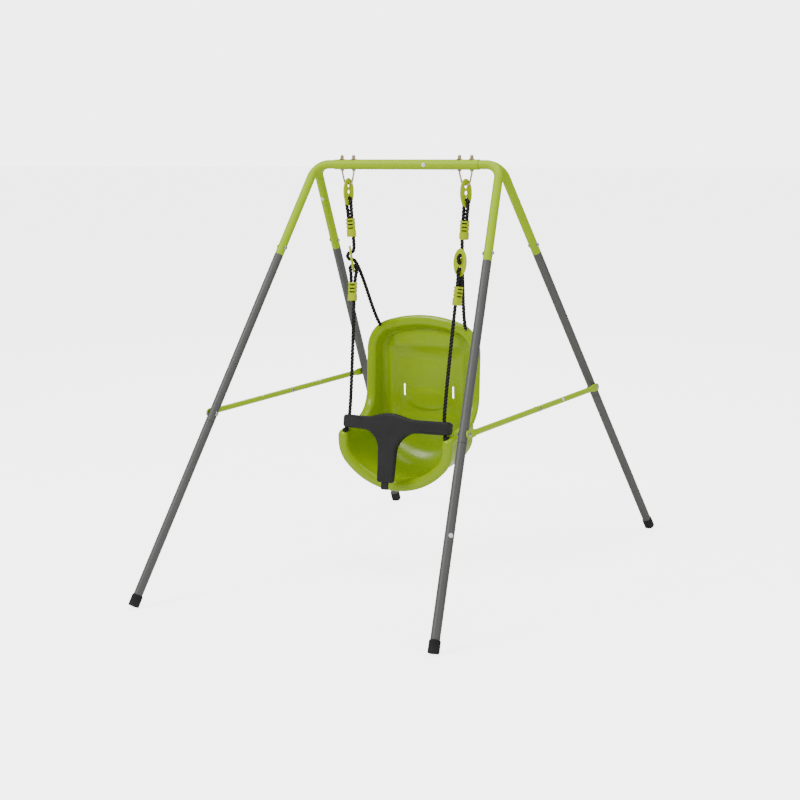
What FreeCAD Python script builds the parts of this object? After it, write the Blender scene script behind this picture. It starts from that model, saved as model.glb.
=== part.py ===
import FreeCAD, Part
import math
import os

# A toddler's swing set: two A-frames of plug-together tube under one crossbar, and a moulded
# bucket seat that hangs from two hooped bolts by ropes, with a T-shaped guard bar in front.
# X runs along the crossbar, Y from front to back, Z up. The origin is on the ground, under
# the middle of the crossbar. All lengths are in millimetres.

V = FreeCAD.Vector
doc = FreeCAD.newDocument("SwingSet")
sheet = doc.addObject("Spreadsheet::Sheet", "Sizes")

SIZES = (
    ("overall_height", 1180, "ground to the top of the cap nuts"),
    ("foot_spacing_x", 912, "between the leg axes at the ground, left to right"),
    ("foot_spacing_y", 1442.4, "between the leg axes at the ground, front to back"),
    ("bar_corner_x", 293.5, "middle of the crossbar to where the leg axes meet its axis"),
    ("bar_half_length", 231, "middle of the crossbar tube to its end"),
    ("bar_wall", 1.5, "crossbar tube wall"),
    ("bar_fit", 0.25, "gap all round a corner stub in the crossbar"),
    ("leg_diameter", 25, "leg and corner tube, outside"),
    ("leg_wall", 1.5, "leg and corner tube wall"),
    ("tube_fit", 0.15, "gap all round where one tube plugs into another"),
    ("stub_length", 52, "corner stub inside the crossbar"),
    ("corner_bend", 48, "bend radius of the corner tubes, on the axis"),
    ("corner_leg", 296, "corner point to the lower end of the green corner tube"),
    ("upper_leg", 521, "length of an upper leg tube without its neck"),
    ("neck_length", 45, "reduced end that plugs into the tube above"),
    ("bolt_setback", 25, "joint bolt to the end of the outer tube"),
    ("bolt_diameter", 6, "leg joint bolts"),
    ("bolt_play", 0.2, "gap all round a bolt in its hole"),
    ("bolt_head_radius", 6.5, "domed bolt heads and nuts on the legs"),
    ("bolt_head_height", 4.5, "domed bolt heads and nuts on the legs"),
    ("cap_wall", 2.5, "foot cap, round the tube"),
    ("cap_length", 32, "foot cap, along the leg"),
    ("cap_floor", 4, "thickness under the end of the tube"),
    ("cap_land", 3, "how far the cap's low edge is cut back to lie flat"),
    ("brace_diameter", 16, "side brace tube, outside"),
    ("brace_wall", 1.2, "side brace tube wall"),
    ("brace_flat", 4, "thickness of the flattened brace end"),
    ("brace_clearance", 0.75, "gap between a leg and the flattened brace end"),
    ("brace_flat_length", 26, "bolt to the end of the flattened part"),
    ("brace_taper", 18, "flat to round transition"),
    ("brace_neck", 40, "plugged length in the middle of a brace"),
    ("brace_bolt_diameter", 5, "bolt through the middle of a brace"),
    ("hanger_x", 188, "middle of the crossbar to each hooped bolt"),
    ("hanger_half_gap", 19, "half the distance between a hooped bolt's shanks"),
    ("hanger_wire", 5, "hooped bolt wire diameter"),
    ("hanger_drop", 41, "underside of the crossbar to the axis of the hoop's bend"),
    ("cap_nut_height", 12, "domed nuts on the crossbar"),
    ("cap_nut_radius", 5.8, "domed nuts on the crossbar, across the corners, halved"),
    ("washer_radius", 8, "washers on the crossbar"),
    ("washer_height", 1.2, "washers on the crossbar"),
    ("jam_nut_height", 4, "nuts under the crossbar"),
    ("plate_length", 78, "oval rope plate"),
    ("plate_width", 40, "oval rope plate"),
    ("plate_thickness", 6, "oval rope plate"),
    ("plate_hole_play", 1.5, "gap all round a rope in a plate's hole"),
    ("plate_pitch", 18.5, "between the holes of a rope plate"),
    ("plate_play", 0.3, "gap between the hooped bolt and the top of its hole"),
    ("rope_diameter", 10, "laid rope"),
    ("rope_play", 0.4, "gap all round a rope where it goes through a piece"),
    ("lock_height", 52, "rope lock"),
    ("lock_rib_wall", 6.6, "round the bore, at the ribs and the collar of a rope lock"),
    ("lock_waist_wall", 3.7, "round the bore, at the waist between the ribs"),
    ("lock_collar", 20, "plain collar at the foot of a rope lock"),
    ("lock_rib", 5, "height of a rib"),
    ("lock_slot", 3.6, "height of the windows between the ribs"),
    ("lock_rope_gap", 0.6, "between the two parts of a rope in its lock"),
    ("seat_half_width", 184, "seat rim, outside"),
    ("seat_bottom", 236, "lowest point of the front rim"),
    ("seat_top", 720, "top of the back rim"),
    ("seat_wall", 5, "moulded wall"),
    ("rim_width", 31, "width of the rolled rim, seen from the front"),
    ("rim_thickness", 5, "thickness of the rim"),
    ("rim_skirt", 14, "depth of the turned-back outer edge of the rim"),
    ("skirt_wall", 3.5, "thickness of the turned-back edge"),
    ("front_hole_inset", 21, "front rope holes, in from the outside of the seat"),
    ("back_hole_inset", 45, "back rope holes, in from the outside of the seat"),
    ("grommet_wall", 1.7, "grommet round the rope, where it passes the rim"),
    ("tee_half_length", 172, "guard bar, middle to end"),
    ("tee_height", 37, "guard bar, top to bottom"),
    ("tee_depth", 28, "guard bar, front to back"),
    ("tee_bow", 34, "how far the guard bar's middle stands in front of its rope slots"),
    ("stem_depth", 18, "guard bar's stem at its foot, front to back"),
    ("tee_slot_x", 154, "middle of the guard bar to each rope slot"),
)
for row, (alias, value, note) in enumerate(SIZES, 1):
    sheet.set(f"A{row}", note)
    sheet.set(f"B{row}", str(value))
    sheet.setAlias(f"B{row}", alias)
doc.recompute()


def size(alias):
    return float(sheet.get(alias))


SIDES = (("left", -1), ("right", 1))
ENDS = (("front", -1), ("rear", 1))
nodes = []


def add(kind, name, **settings):
    """Add a document object; a text setting is an expression on the Sizes sheet."""
    thing = doc.addObject(kind, name)
    for key, value in settings.items():
        if isinstance(value, str) and key != "DirMode":
            thing.setExpression(key, value)
        else:
            setattr(thing, key, value)
    return thing


def node(thing, label, placement=None):
    """Name a finished sub-part and put it in its place."""
    thing.Label = label
    if placement is not None:
        thing.Placement = placement
    nodes.append(thing)
    return thing


def feature(label, shape, placement=None):
    """A sub-part whose shape comes from Part's own functions."""
    thing = doc.addObject("Part::Feature", label)
    thing.Shape = shape
    return node(thing, label, placement)


def unit(vector):
    return vector / vector.Length


def pointing(origin, axis):
    """Placement that turns the local Z axis to the given one."""
    return FreeCAD.Placement(origin, FreeCAD.Rotation(V(0, 0, 1), axis))


def framed(origin, normal, upward):
    """Placement with local Z along normal and local Y as near upward as can be."""
    across = upward.cross(normal)
    return FreeCAD.Placement(origin, FreeCAD.Rotation(across, upward, normal, "ZYX"))


def rounded_path(points, radii):
    """Straight runs joined by tangent arcs, as one wire."""
    edges = []
    last = points[0]
    for before, corner, after, radius in zip(points, points[1:], points[2:], radii):
        inward = unit(before - corner)
        outward = unit(after - corner)
        half = (math.pi - inward.getAngle(outward)) / 2
        reach = radius * math.tan(half)
        start = corner + inward * reach
        end = corner + outward * reach
        middle = corner + unit(inward + outward) * (radius / math.cos(half) - radius)
        edges.append(Part.LineSegment(last, start).toShape())
        edges.append(Part.Arc(start, middle, end).toShape())
        last = end
    edges.append(Part.LineSegment(last, points[-1]).toShape())
    return Part.Wire(edges)


def tube_along(path, radius):
    """A round solid along a path of runs and arcs."""
    start = path.Edges[0]
    place = start.valueAt(start.FirstParameter)
    heading = start.tangentAt(start.FirstParameter)
    ring = Part.Wire(Part.makeCircle(radius, place, heading))
    return path.makePipeShell([ring], True, False)


def rod(origin, axis, radius, length):
    return Part.makeCylinder(radius, length, origin, axis)


DRILL = 60


def through(point, axis, radius, reach=200):
    """A long cutter centred on a point."""
    return rod(point - axis * reach / 2, axis, radius, reach)


# ---------------------------------------------------------------- the lines of the frame
leg_radius = size("leg_diameter") / 2
leg_bore = leg_radius - size("leg_wall")
bar_radius = leg_radius + size("bar_fit") + size("bar_wall")
bar_z = (size("overall_height") - size("cap_nut_height") - size("washer_height")
         - bar_radius)
cap_radius = leg_radius + size("cap_wall")
bolt_hole = size("bolt_diameter") / 2 + size("bolt_play")
rope_radius = size("rope_diameter") / 2
rope_hole = rope_radius + size("rope_play")


class Leg:
    """One leg's axis, from the crossbar down to the ground."""

    def __init__(self, side, end):
        self.top = V(side * size("bar_corner_x"), 0, bar_z)
        foot = V(side * size("foot_spacing_x") / 2, end * size("foot_spacing_y") / 2, 0)
        self.down = unit(foot - self.top)
        self.length = (foot - self.top).Length
        outward = V(side, 0, 0)
        self.bolt_axis = unit(outward - self.down * self.down.dot(outward))

    def at(self, distance):
        return self.top + self.down * distance


LEGS = {(s_name, e_name): Leg(side, end) for s_name, side in SIDES for e_name, end in ENDS}
any_leg = LEGS["left", "front"]
upright = -any_leg.down.z
lean = math.sqrt(1 - upright ** 2)
upper_joint = size("corner_leg")
lower_joint = upper_joint + size("upper_leg")
cap_end = any_leg.length - (cap_radius * lean - size("cap_land")) / upright
tube_end = cap_end - size("cap_floor")
upper_bolt = upper_joint - size("bolt_setback")
lower_bolt = lower_joint - size("bolt_setback")

# ---------------------------------------------------------------- crossbar and corners
hoop_shanks = [side * size("hanger_x") + step * size("hanger_half_gap")
               for _, side in SIDES for step in (-1, 1)]
wire_hole = size("hanger_wire") / 2 + size("bolt_play")

# The crossbar is one straight tube, drilled downwards for the four shanks.
bar_outer = add("Part::Cylinder", "BarOuter", Height="2 * Sizes.bar_half_length",
                Radius="Sizes.leg_diameter / 2 + Sizes.bar_fit + Sizes.bar_wall")
bar_bore = add("Part::Cylinder", "BarBore", Height="2 * Sizes.bar_half_length",
               Radius="Sizes.leg_diameter / 2 + Sizes.bar_fit")
bar_drills = []
for number, shank_x in enumerate(hoop_shanks):
    drill = add("Part::Cylinder", f"BarDrill{number}", Height=4 * bar_radius,
                Radius="Sizes.hanger_wire / 2 + Sizes.bolt_play")
    drill.Placement = pointing(V(-2 * bar_radius, 0, shank_x + size("bar_half_length")),
                               V(1, 0, 0))
    bar_drills.append(drill)
bar_cutters = add("Part::MultiFuse", "BarCutters", Shapes=[bar_bore] + bar_drills)
crossbar = add("Part::Cut", "Crossbar", Base=bar_outer, Tool=bar_cutters)
node(crossbar, "crossbar", pointing(V(-size("bar_half_length"), 0, bar_z), V(1, 0, 0)))


def corner_solid(side, radius):
    """Front and rear corner tubes, which share one stub and part at the bend."""
    stub_end = V(side * (size("bar_half_length") - size("stub_length")), 0, bar_z)
    front = LEGS["left" if side < 0 else "right", "front"]
    path = rounded_path([stub_end, front.top, front.at(upper_joint)], [size("corner_bend")])
    bent = tube_along(path, radius)
    reach = 1000
    front_half = bent.common(Part.makeBox(4 * reach, reach, 4 * reach,
                                          V(-2 * reach, -reach, -2 * reach)))
    return front_half.fuse(front_half.mirror(V(0, 0, 0), V(0, 1, 0))).removeSplitter()


# Each corner is a weldment of two bent tubes on one stub that plugs into the crossbar.
for side_name, side in SIDES:
    shape = corner_solid(side, leg_radius).cut(corner_solid(side, leg_bore))
    outer_shank = V(side * (size("hanger_x") + size("hanger_half_gap")), 0, bar_z)
    shape = shape.cut(through(outer_shank, V(0, 0, 1), wire_hole))
    for end_name, end in ENDS:
        leg = LEGS[side_name, end_name]
        shape = shape.cut(through(leg.at(upper_bolt), leg.bolt_axis, bolt_hole, DRILL))
    feature(f"corner_fitting_{side_name}", shape)

# ---------------------------------------------------------------- legs and foot caps


def leg_tube(label, leg, start, end, bolts):
    """A leg tube with a reduced neck at its top; local Z runs down the leg."""
    tag = "".join(word.capitalize() for word in label.split("_"))
    body = add("Part::Cylinder", tag + "Body", Radius="Sizes.leg_diameter / 2",
               Height=end - start)
    neck = add("Part::Cylinder", tag + "Neck", Height="Sizes.neck_length",
               Radius="Sizes.leg_diameter / 2 - Sizes.leg_wall - Sizes.tube_fit")
    neck.setExpression("Placement.Base.z", "-Sizes.neck_length")
    bore = add("Part::Cylinder", tag + "Bore", Height=end - start,
               Radius="Sizes.leg_diameter / 2 - Sizes.leg_wall")
    bore.Placement.Base = V(0, 0, size("leg_wall"))
    neck_bore = add("Part::Cylinder", tag + "NeckBore", Height=2 * size("neck_length"),
                    Radius="Sizes.leg_diameter / 2 - 2 * Sizes.leg_wall - Sizes.tube_fit")
    neck_bore.setExpression("Placement.Base.z", "-1.5 * Sizes.neck_length")
    place = pointing(leg.at(start), leg.down)
    across = place.Rotation.inverted().multVec(leg.bolt_axis)
    cutters = [bore, neck_bore]
    for number, distance in enumerate(bolts):
        drill = add("Part::Cylinder", f"{tag}Drill{number}", Height=DRILL,
                    Radius="Sizes.bolt_diameter / 2 + Sizes.bolt_play")
        drill.Placement = pointing(V(0, 0, distance - start) - across * DRILL / 2, across)
        cutters.append(drill)
    solid = add("Part::Fuse", tag + "Solid", Base=body, Tool=neck)
    tools = add("Part::MultiFuse", tag + "Tools", Shapes=cutters)
    cut = add("Part::Cut", tag, Base=solid, Tool=tools)
    return node(cut, label, place)


CAP_ROUND = 2
GROUND = 200
for (side_name, end_name), leg in LEGS.items():
    where = f"{end_name}_{side_name}"
    leg_tube(f"upper_leg_{where}", leg, upper_joint, lower_joint, (upper_bolt, lower_bolt))
    leg_tube(f"lower_leg_{where}", leg, lower_joint, tube_end, (lower_bolt,))

    # The foot cap is a moulded cup over the tube's end, with its low edge cut flat.
    cap = add("Part::Cylinder", f"CapOuter_{where}", Height="Sizes.cap_length",
              Radius="Sizes.leg_diameter / 2 + Sizes.cap_wall")
    soft_cap = add("Part::Fillet", f"CapSoft_{where}", Base=cap)
    doc.recompute()
    soft_cap.Edges = [(number, CAP_ROUND, CAP_ROUND)
                      for number, edge in enumerate(cap.Shape.Edges, 1) if edge.Closed]
    cup = add("Part::Cylinder", f"CapBore_{where}", Radius="Sizes.leg_diameter / 2",
              Height="Sizes.cap_length - Sizes.cap_floor")
    place = pointing(leg.at(cap_end - size("cap_length")), leg.down)
    ground = add("Part::Box", f"CapGround_{where}", Length=2 * GROUND, Width=2 * GROUND,
                 Height=GROUND)
    foot = leg.at(cap_end)
    ground.Placement = place.inverse().multiply(FreeCAD.Placement(
        V(foot.x - GROUND, foot.y - GROUND, -GROUND), FreeCAD.Rotation()))
    cap_tools = add("Part::Fuse", f"CapTools_{where}", Base=cup, Tool=ground)
    node(add("Part::Cut", f"Cap_{where}", Base=soft_cap, Tool=cap_tools),
         f"foot_cap_{where}", place)

# ---------------------------------------------------------------- leg joint bolts
head_radius = size("bolt_head_radius")
head_height = size("bolt_head_height")
THREAD_SHARE = 0.7


def dome(radius, height, base, axis):
    """A low domed head standing on a flat round base."""
    ball = (radius ** 2 + height ** 2) / (2 * height)
    sphere = Part.makeSphere(ball, base - axis * (ball - height))
    return sphere.common(rod(base, axis, radius, height + 1))


def bolt_and_nut(center, axis, inner_face, outer_face, radius):
    """A domed bolt pushed in from outside and its domed nut on the inner side."""
    grip_start = center - axis * inner_face
    grip_end = center + axis * outer_face
    thread = head_height * THREAD_SHARE
    shank_start = grip_start - axis * thread
    shank = rod(shank_start, axis, radius, inner_face + outer_face + thread)
    bolt = shank.fuse(dome(head_radius, head_height, grip_end, axis))
    nut = dome(head_radius, head_height, grip_start, axis * -1).cut(shank)
    return bolt, nut


joint_pairs = [bolt_and_nut(leg.at(upper_bolt), leg.bolt_axis, leg_radius, leg_radius,
                            size("bolt_diameter") / 2) for leg in LEGS.values()]
brace_pairs = [bolt_and_nut(leg.at(lower_bolt), leg.bolt_axis, leg_radius,
                            leg_radius + size("brace_flat") + 1.5 * size("brace_clearance"),
                            size("bolt_diameter") / 2) for leg in LEGS.values()]
for name, pairs in (("leg_joint", joint_pairs), ("brace_end", brace_pairs)):
    feature(f"{name}_bolts", Part.makeCompound([bolt for bolt, _ in pairs]))
    feature(f"{name}_nuts", Part.makeCompound([nut for _, nut in pairs]))

# ---------------------------------------------------------------- side braces
brace_radius = size("brace_diameter") / 2
brace_bore = brace_radius - size("brace_wall")
tab_half = brace_radius * 1.35
middle_pairs = []
for side_name, side in SIDES:
    front = LEGS[side_name, "front"]
    # The flattened ends are twisted to lie along the leaning legs.
    twist = unit(V(front.bolt_axis.x, 0, front.bolt_axis.z))
    tab_up = V(-side * twist.z, 0, abs(twist.x))
    tab_middle = leg_radius + size("brace_clearance") + size("brace_flat") / 2
    hole = front.at(lower_bolt) + front.bolt_axis * tab_middle
    brace_line = V(hole.x, 0, hole.z)
    for end_name, end in ENDS:
        leg = LEGS[side_name, end_name]
        bolt_at = leg.at(lower_bolt) + leg.bolt_axis * tab_middle
        # Built along local Z from the bolt towards the middle of the brace.
        place = framed(bolt_at, V(0, -end, 0), tab_up)
        flat = size("brace_flat")
        tab_length = size("brace_flat_length")
        tab = Part.makeBox(flat, 2 * tab_half, tab_length, V(-flat / 2, -tab_half, 0))
        tab = tab.fuse(rod(V(-flat / 2, 0, 0), V(1, 0, 0), tab_half, flat))
        corners = [V(x, y, tab_length) for x, y in
                   ((-flat / 2, -tab_half), (flat / 2, -tab_half),
                    (flat / 2, tab_half), (-flat / 2, tab_half), (-flat / 2, -tab_half))]
        round_start = tab_length + size("brace_taper")
        ring = Part.Wire(Part.makeCircle(brace_radius, V(0, 0, round_start), V(0, 0, 1)))
        taper = Part.makeLoft([Part.makePolygon(corners), ring], True)
        run = abs(bolt_at.y) - round_start
        overlap = size("brace_neck") / 2
        up = V(0, 0, 1)
        if end_name == "front":
            # The front half ends in a neck that plugs into the rear half.
            tube = rod(V(0, 0, round_start), up, brace_radius, run - overlap)
            tube = tube.fuse(rod(V(0, 0, round_start), up, brace_bore - size("tube_fit"),
                                 run + overlap))
            tube = tube.cut(rod(V(0, 0, round_start), up,
                                brace_bore - size("tube_fit") - size("brace_wall"), 2 * run))
        else:
            tube = rod(V(0, 0, round_start), up, brace_radius, run + overlap)
            tube = tube.cut(rod(V(0, 0, round_start), up, brace_bore, 2 * run))
        shape = tab.fuse([taper, tube]).removeSplitter()
        shape.Placement = place
        shape = shape.cut(through(bolt_at, leg.bolt_axis, bolt_hole, 30))
        pin = V(brace_line.x, 0, brace_line.z)
        shape = shape.cut(through(pin, V(1, 0, 0),
                                  size("brace_bolt_diameter") / 2 + size("bolt_play"), 60))
        feature(f"brace_{end_name}_{side_name}", shape)
    middle_pairs.append(bolt_and_nut(brace_line, V(side, 0, 0), brace_radius, brace_radius,
                                     size("brace_bolt_diameter") / 2))
feature("brace_middle_bolts", Part.makeCompound([bolt for bolt, _ in middle_pairs]))
feature("brace_middle_nuts", Part.makeCompound([nut for _, nut in middle_pairs]))

# ---------------------------------------------------------------- hooped hanger bolts
bar_bottom = bar_z - bar_radius
bar_top = bar_z + bar_radius
pivot_z = bar_bottom - size("hanger_drop")
wire_radius = size("hanger_wire") / 2
gap = size("hanger_half_gap")
shank_top = bar_top + size("washer_height") + size("cap_nut_height") * THREAD_SHARE
HOOP_STRAIGHT = 8
HOOP_NARROWS = 0.58
SHANK_BEND = 20
HOOP_BEND = 9
for side_name, side in SIDES:
    middle = side * size("hanger_x")
    hoop = [(-gap, shank_top), (-gap, bar_bottom - HOOP_STRAIGHT),
            (-gap * HOOP_NARROWS, pivot_z), (gap * HOOP_NARROWS, pivot_z),
            (gap, bar_bottom - HOOP_STRAIGHT), (gap, shank_top)]
    path = rounded_path([V(middle + x, 0, z) for x, z in hoop],
                        [SHANK_BEND, HOOP_BEND, HOOP_BEND, SHANK_BEND])
    feature(f"hanger_bolt_{side_name}", tube_along(path, wire_radius))

cap_nuts = []
washers = []
jam_nuts = []
hexagon = size("cap_nut_height") / 2
for shank_x in hoop_shanks:
    seat_z = bar_top + size("washer_height")
    shank = rod(V(shank_x, 0, bar_bottom - DRILL), V(0, 0, 1), wire_radius,
                shank_top - bar_bottom + DRILL)
    washers.append(rod(V(shank_x, 0, bar_top), V(0, 0, 1), size("washer_radius"),
                       size("washer_height")).cut(rod(V(shank_x, 0, bar_top), V(0, 0, 1),
                                                      wire_hole, size("washer_height"))))
    corners = [V(shank_x + size("cap_nut_radius") * math.cos(math.radians(turn)),
                 size("cap_nut_radius") * math.sin(math.radians(turn)), seat_z)
               for turn in range(0, 361, 60)]
    nut = Part.Face(Part.makePolygon(corners)).extrude(V(0, 0, hexagon))
    nut = nut.fuse(dome(size("cap_nut_radius") * 0.86, hexagon,
                        V(shank_x, 0, seat_z + hexagon), V(0, 0, 1)))
    cap_nuts.append(nut.cut(shank))
    jam = rod(V(shank_x, 0, bar_bottom - size("jam_nut_height")), V(0, 0, 1),
              size("cap_nut_radius") * 0.9, size("jam_nut_height"))
    jam_nuts.append(jam.cut(shank))
feature("hanger_cap_nuts", Part.makeCompound(cap_nuts))
feature("hanger_washers", Part.makeCompound(washers))
feature("hanger_jam_nuts", Part.makeCompound(jam_nuts))

# ---------------------------------------------------------------- oval rope plates
PLATE_ROUND = 1.5


def turned(degrees, rise=0):
    """A direction turned about Z from +X, and raised by the second angle."""
    flat = math.cos(math.radians(rise))
    return V(flat * math.cos(math.radians(degrees)), flat * math.sin(math.radians(degrees)),
             math.sin(math.radians(rise)))


def rope_plate(label, center, normal, upward):
    """A moulded oval plate with three holes; local Y is its long axis."""
    tag = "".join(word.capitalize() for word in label.split("_"))
    outline = add("Part::Ellipse", tag + "Outline", MajorRadius="Sizes.plate_length / 2",
                  MinorRadius="Sizes.plate_width / 2")
    outline.Placement.Rotation = FreeCAD.Rotation(V(0, 0, 1), 90)
    slab = add("Part::Extrusion", tag + "Slab", Base=outline, DirMode="Custom",
               Dir=V(0, 0, 1), LengthFwd="Sizes.plate_thickness", Solid=True)
    holes = []
    for step in (-1, 0, 1):
        hole = add("Part::Cylinder", f"{tag}Hole{step + 1}", Height="Sizes.plate_thickness",
                   Radius="Sizes.rope_diameter / 2 + Sizes.plate_hole_play")
        hole.setExpression("Placement.Base.y", f"{step} * Sizes.plate_pitch")
        holes.append(hole)
    soft = add("Part::Fillet", tag + "Soft", Base=slab)
    doc.recompute()
    soft.Edges = [(number, PLATE_ROUND, PLATE_ROUND)
                  for number, edge in enumerate(slab.Shape.Edges, 1)
                  if edge.Curve.TypeId == "Part::GeomEllipse"]
    cutters = add("Part::MultiFuse", tag + "Holes", Shapes=holes)
    upward = unit(upward - normal * upward.dot(normal))
    place = framed(center - normal * size("plate_thickness") / 2, normal, upward)
    node(add("Part::Cut", tag, Base=soft, Tool=cutters), label, place)


# The top plates hang on the hoops by their first hole, a little off square. The lower
# plates take the turn that their ropes give them.
plate_hole = rope_radius + size("plate_hole_play")
first_hole = pivot_z - (plate_hole - wire_radius - size("plate_play"))
top_plate_z = first_hole - size("plate_pitch")
PLATES = (
    ("top_plate_left", V(-size("hanger_x"), 0, top_plate_z), turned(-12), V(0, 0, 1)),
    ("top_plate_right", V(size("hanger_x"), 0, top_plate_z), turned(-23), V(0, 0, 1)),
    ("lower_plate_left", V(-176, -10, 884), turned(29.4, 8), V(-0.1635, 0.008, 0.986)),
    ("lower_plate_right", V(173, -10, 884), turned(90, -4.6), V(0.02, 0.08, 0.9966)),
)
for label, center, normal, upward in PLATES:
    rope_plate(label, center, normal, upward)

# ---------------------------------------------------------------- ropes
# Each suspension rope starts in its upper lock, loops through the top plate, comes back
# through the lock, weaves through the lower plate and ends behind the rim of the seat back.
# Each front rope starts in its lower lock, loops through the lower plate, comes back through
# the lock, and goes through the guard bar and the rim at the front of the seat.
ROPES = {
    "suspension_rope_left": (
        (-184.4, -4, 959), (-188.6, -2.7, 1010.8), (-196.4, 1.8, 1038), (-196.8, 1.9, 1057.2),
        (-179.2, -1.9, 1057.2), (-179.6, -1.8, 1038), (-179.6, 0.5, 1010.8), (-174, -1.1, 943),
        (-169.9, -4.8, 903.7), (-188.1, -15, 900.7), (-185.1, -15.1, 882.5),
        (-162.8, -2.7, 884.1), (-139, 74, 680), (-139, 101, 674)),
    "suspension_rope_right": (
        (184.4, 3.9, 959), (188.6, 2.7, 1010.8), (195.9, -3.4, 1038), (196.3, -3.5, 1057.2),
        (179.7, 3.5, 1057.2), (180.1, 3.4, 1038), (179.6, -0.5, 1010.8), (174, 1.1, 943),
        (173.4, 2, 901.6), (173.4, -19, 903.2), (173, -20.5, 884.8),
        (172.5, 5, 882.8), (139, 74, 680), (139, 101, 674)),
    "front_rope_left": (
        (-173.4, -23.5, 780.7), (-175.5, -15.5, 827), (-177.1, -14.5, 844.9),
        (-180.8, -14.5, 864.5), (-165.2, -5.7, 867.1), (-162.3, -6.1, 847.3),
        (-166.5, -12.3, 827), (-149, -79.5, 436), (-163, -85.6, 396.5), (-166.5, -83.5, 384)),
    "front_rope_right": (
        (171.2, -17, 780.7), (173.6, -9.7, 827.1), (172.2, -4.5, 845),
        (172.6, -2.5, 864.9), (172.6, -20.5, 866.3), (172.2, -21.7, 846.4),
        (168.8, -18.1, 827.1), (149, -79.5, 436), (163, -85.6, 396.5), (166.5, -83.5, 384)),
}
ARC_SHARE = 0.45
rope_paths = {}
rope_solids = {}
for label, route in ROPES.items():
    points = [V(*point) for point in route]
    radii = []
    for before, corner, after in zip(points, points[1:], points[2:]):
        turn = math.pi - (before - corner).getAngle(after - corner)
        run = min((before - corner).Length, (after - corner).Length)
        radii.append(ARC_SHARE * run / math.tan(turn / 2))
    path = rounded_path(points, radii)
    solid = tube_along(path, rope_radius)
    expected = math.pi * rope_radius ** 2 * path.Length
    print(label, "length", round(path.Length), "volume ratio", round(solid.Volume / expected, 4),
          "radii", [round(radius, 1) for radius in radii])
    rope_paths[label] = path
    rope_solids[label] = solid
    feature(label, solid)

# ---------------------------------------------------------------- rope locks


def stadium(spread, radius, height, base=0):
    """A block with two half-round ends along X."""
    block = Part.makeBox(2 * spread, 2 * radius, height, V(-spread, -radius, base))
    ends = [Part.makeCylinder(radius, height, V(side * spread, 0, base)) for side in (-1, 1)]
    return block.fuse(ends).removeSplitter()


LOCK_RIBS = 3


def rope_lock(label, center, upward, across):
    """A ribbed lock with one oval bore for both parts of the rope; local Z is upward."""
    height = size("lock_height")
    low = -height / 2
    spread = rope_radius + size("lock_rope_gap") / 2
    rib_radius = rope_hole + size("lock_rib_wall")
    waist_radius = rope_hole + size("lock_waist_wall")
    rib_spread = spread * 0.3
    collar = stadium(rib_spread, rib_radius, size("lock_collar"), low)
    rims = [edge for edge in collar.Edges if abs(edge.CenterOfMass.z - low) < 0.01
            or abs(edge.CenterOfMass.z - low - size("lock_collar")) < 0.01]
    collar = collar.makeFillet(2, rims)
    pieces = [stadium(spread * 0.6, waist_radius, height, low)]
    pitch = (height - size("lock_collar") - size("lock_rib")) / (LOCK_RIBS - 0.35)
    rib_bases = [-low - size("lock_rib") - pitch * number for number in range(LOCK_RIBS)]
    for base in rib_bases:
        rib = stadium(rib_spread, rib_radius, size("lock_rib"), base)
        edges = [edge for edge in rib.Edges
                 if abs(edge.CenterOfMass.z - base - size("lock_rib") / 2) > 0.5]
        pieces.append(rib.makeFillet(1, edges))
    shape = collar.fuse(pieces)
    bore = stadium(spread, rope_hole, height, low)
    window_width = 1.15 * rib_radius
    windows = [Part.makeBox(window_width, 2 * rib_radius, size("lock_slot"),
                            V(-window_width / 2, -2 * rib_radius, base - size("lock_slot")))
               for base in rib_bases]
    shape = shape.cut([bore] + windows)
    square = unit(across - upward * across.dot(upward))
    rotation = FreeCAD.Rotation(square, upward.cross(square), upward, "ZYX")
    feature(label, shape, FreeCAD.Placement(center, rotation))


LOCKS = (
    ("upper_rope_lock_left", V(-181, -2, 973), V(-0.082, 0.0235, 0.996), turned(20)),
    ("upper_rope_lock_right", V(181, 2, 973), V(0.082, -0.0235, 0.996), turned(20)),
    ("lower_rope_lock_left", V(-169.4, -20, 791.5), V(-0.044, 0.169, 0.985), turned(20)),
    ("lower_rope_lock_right", V(169.3, -19.5, 791.5), V(0.05, 0.155, 0.987), turned(60)),
)
for label, center, upward, across in LOCKS:
    rope_lock(label, center, unit(upward), across)

# ---------------------------------------------------------------- seat shell
BIG = 400
# Radius of the outline's corners, and how far their centres are from its bottom and top.
LOW_CORNER = (92, 132)
HIGH_CORNER = (90, 105)


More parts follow.
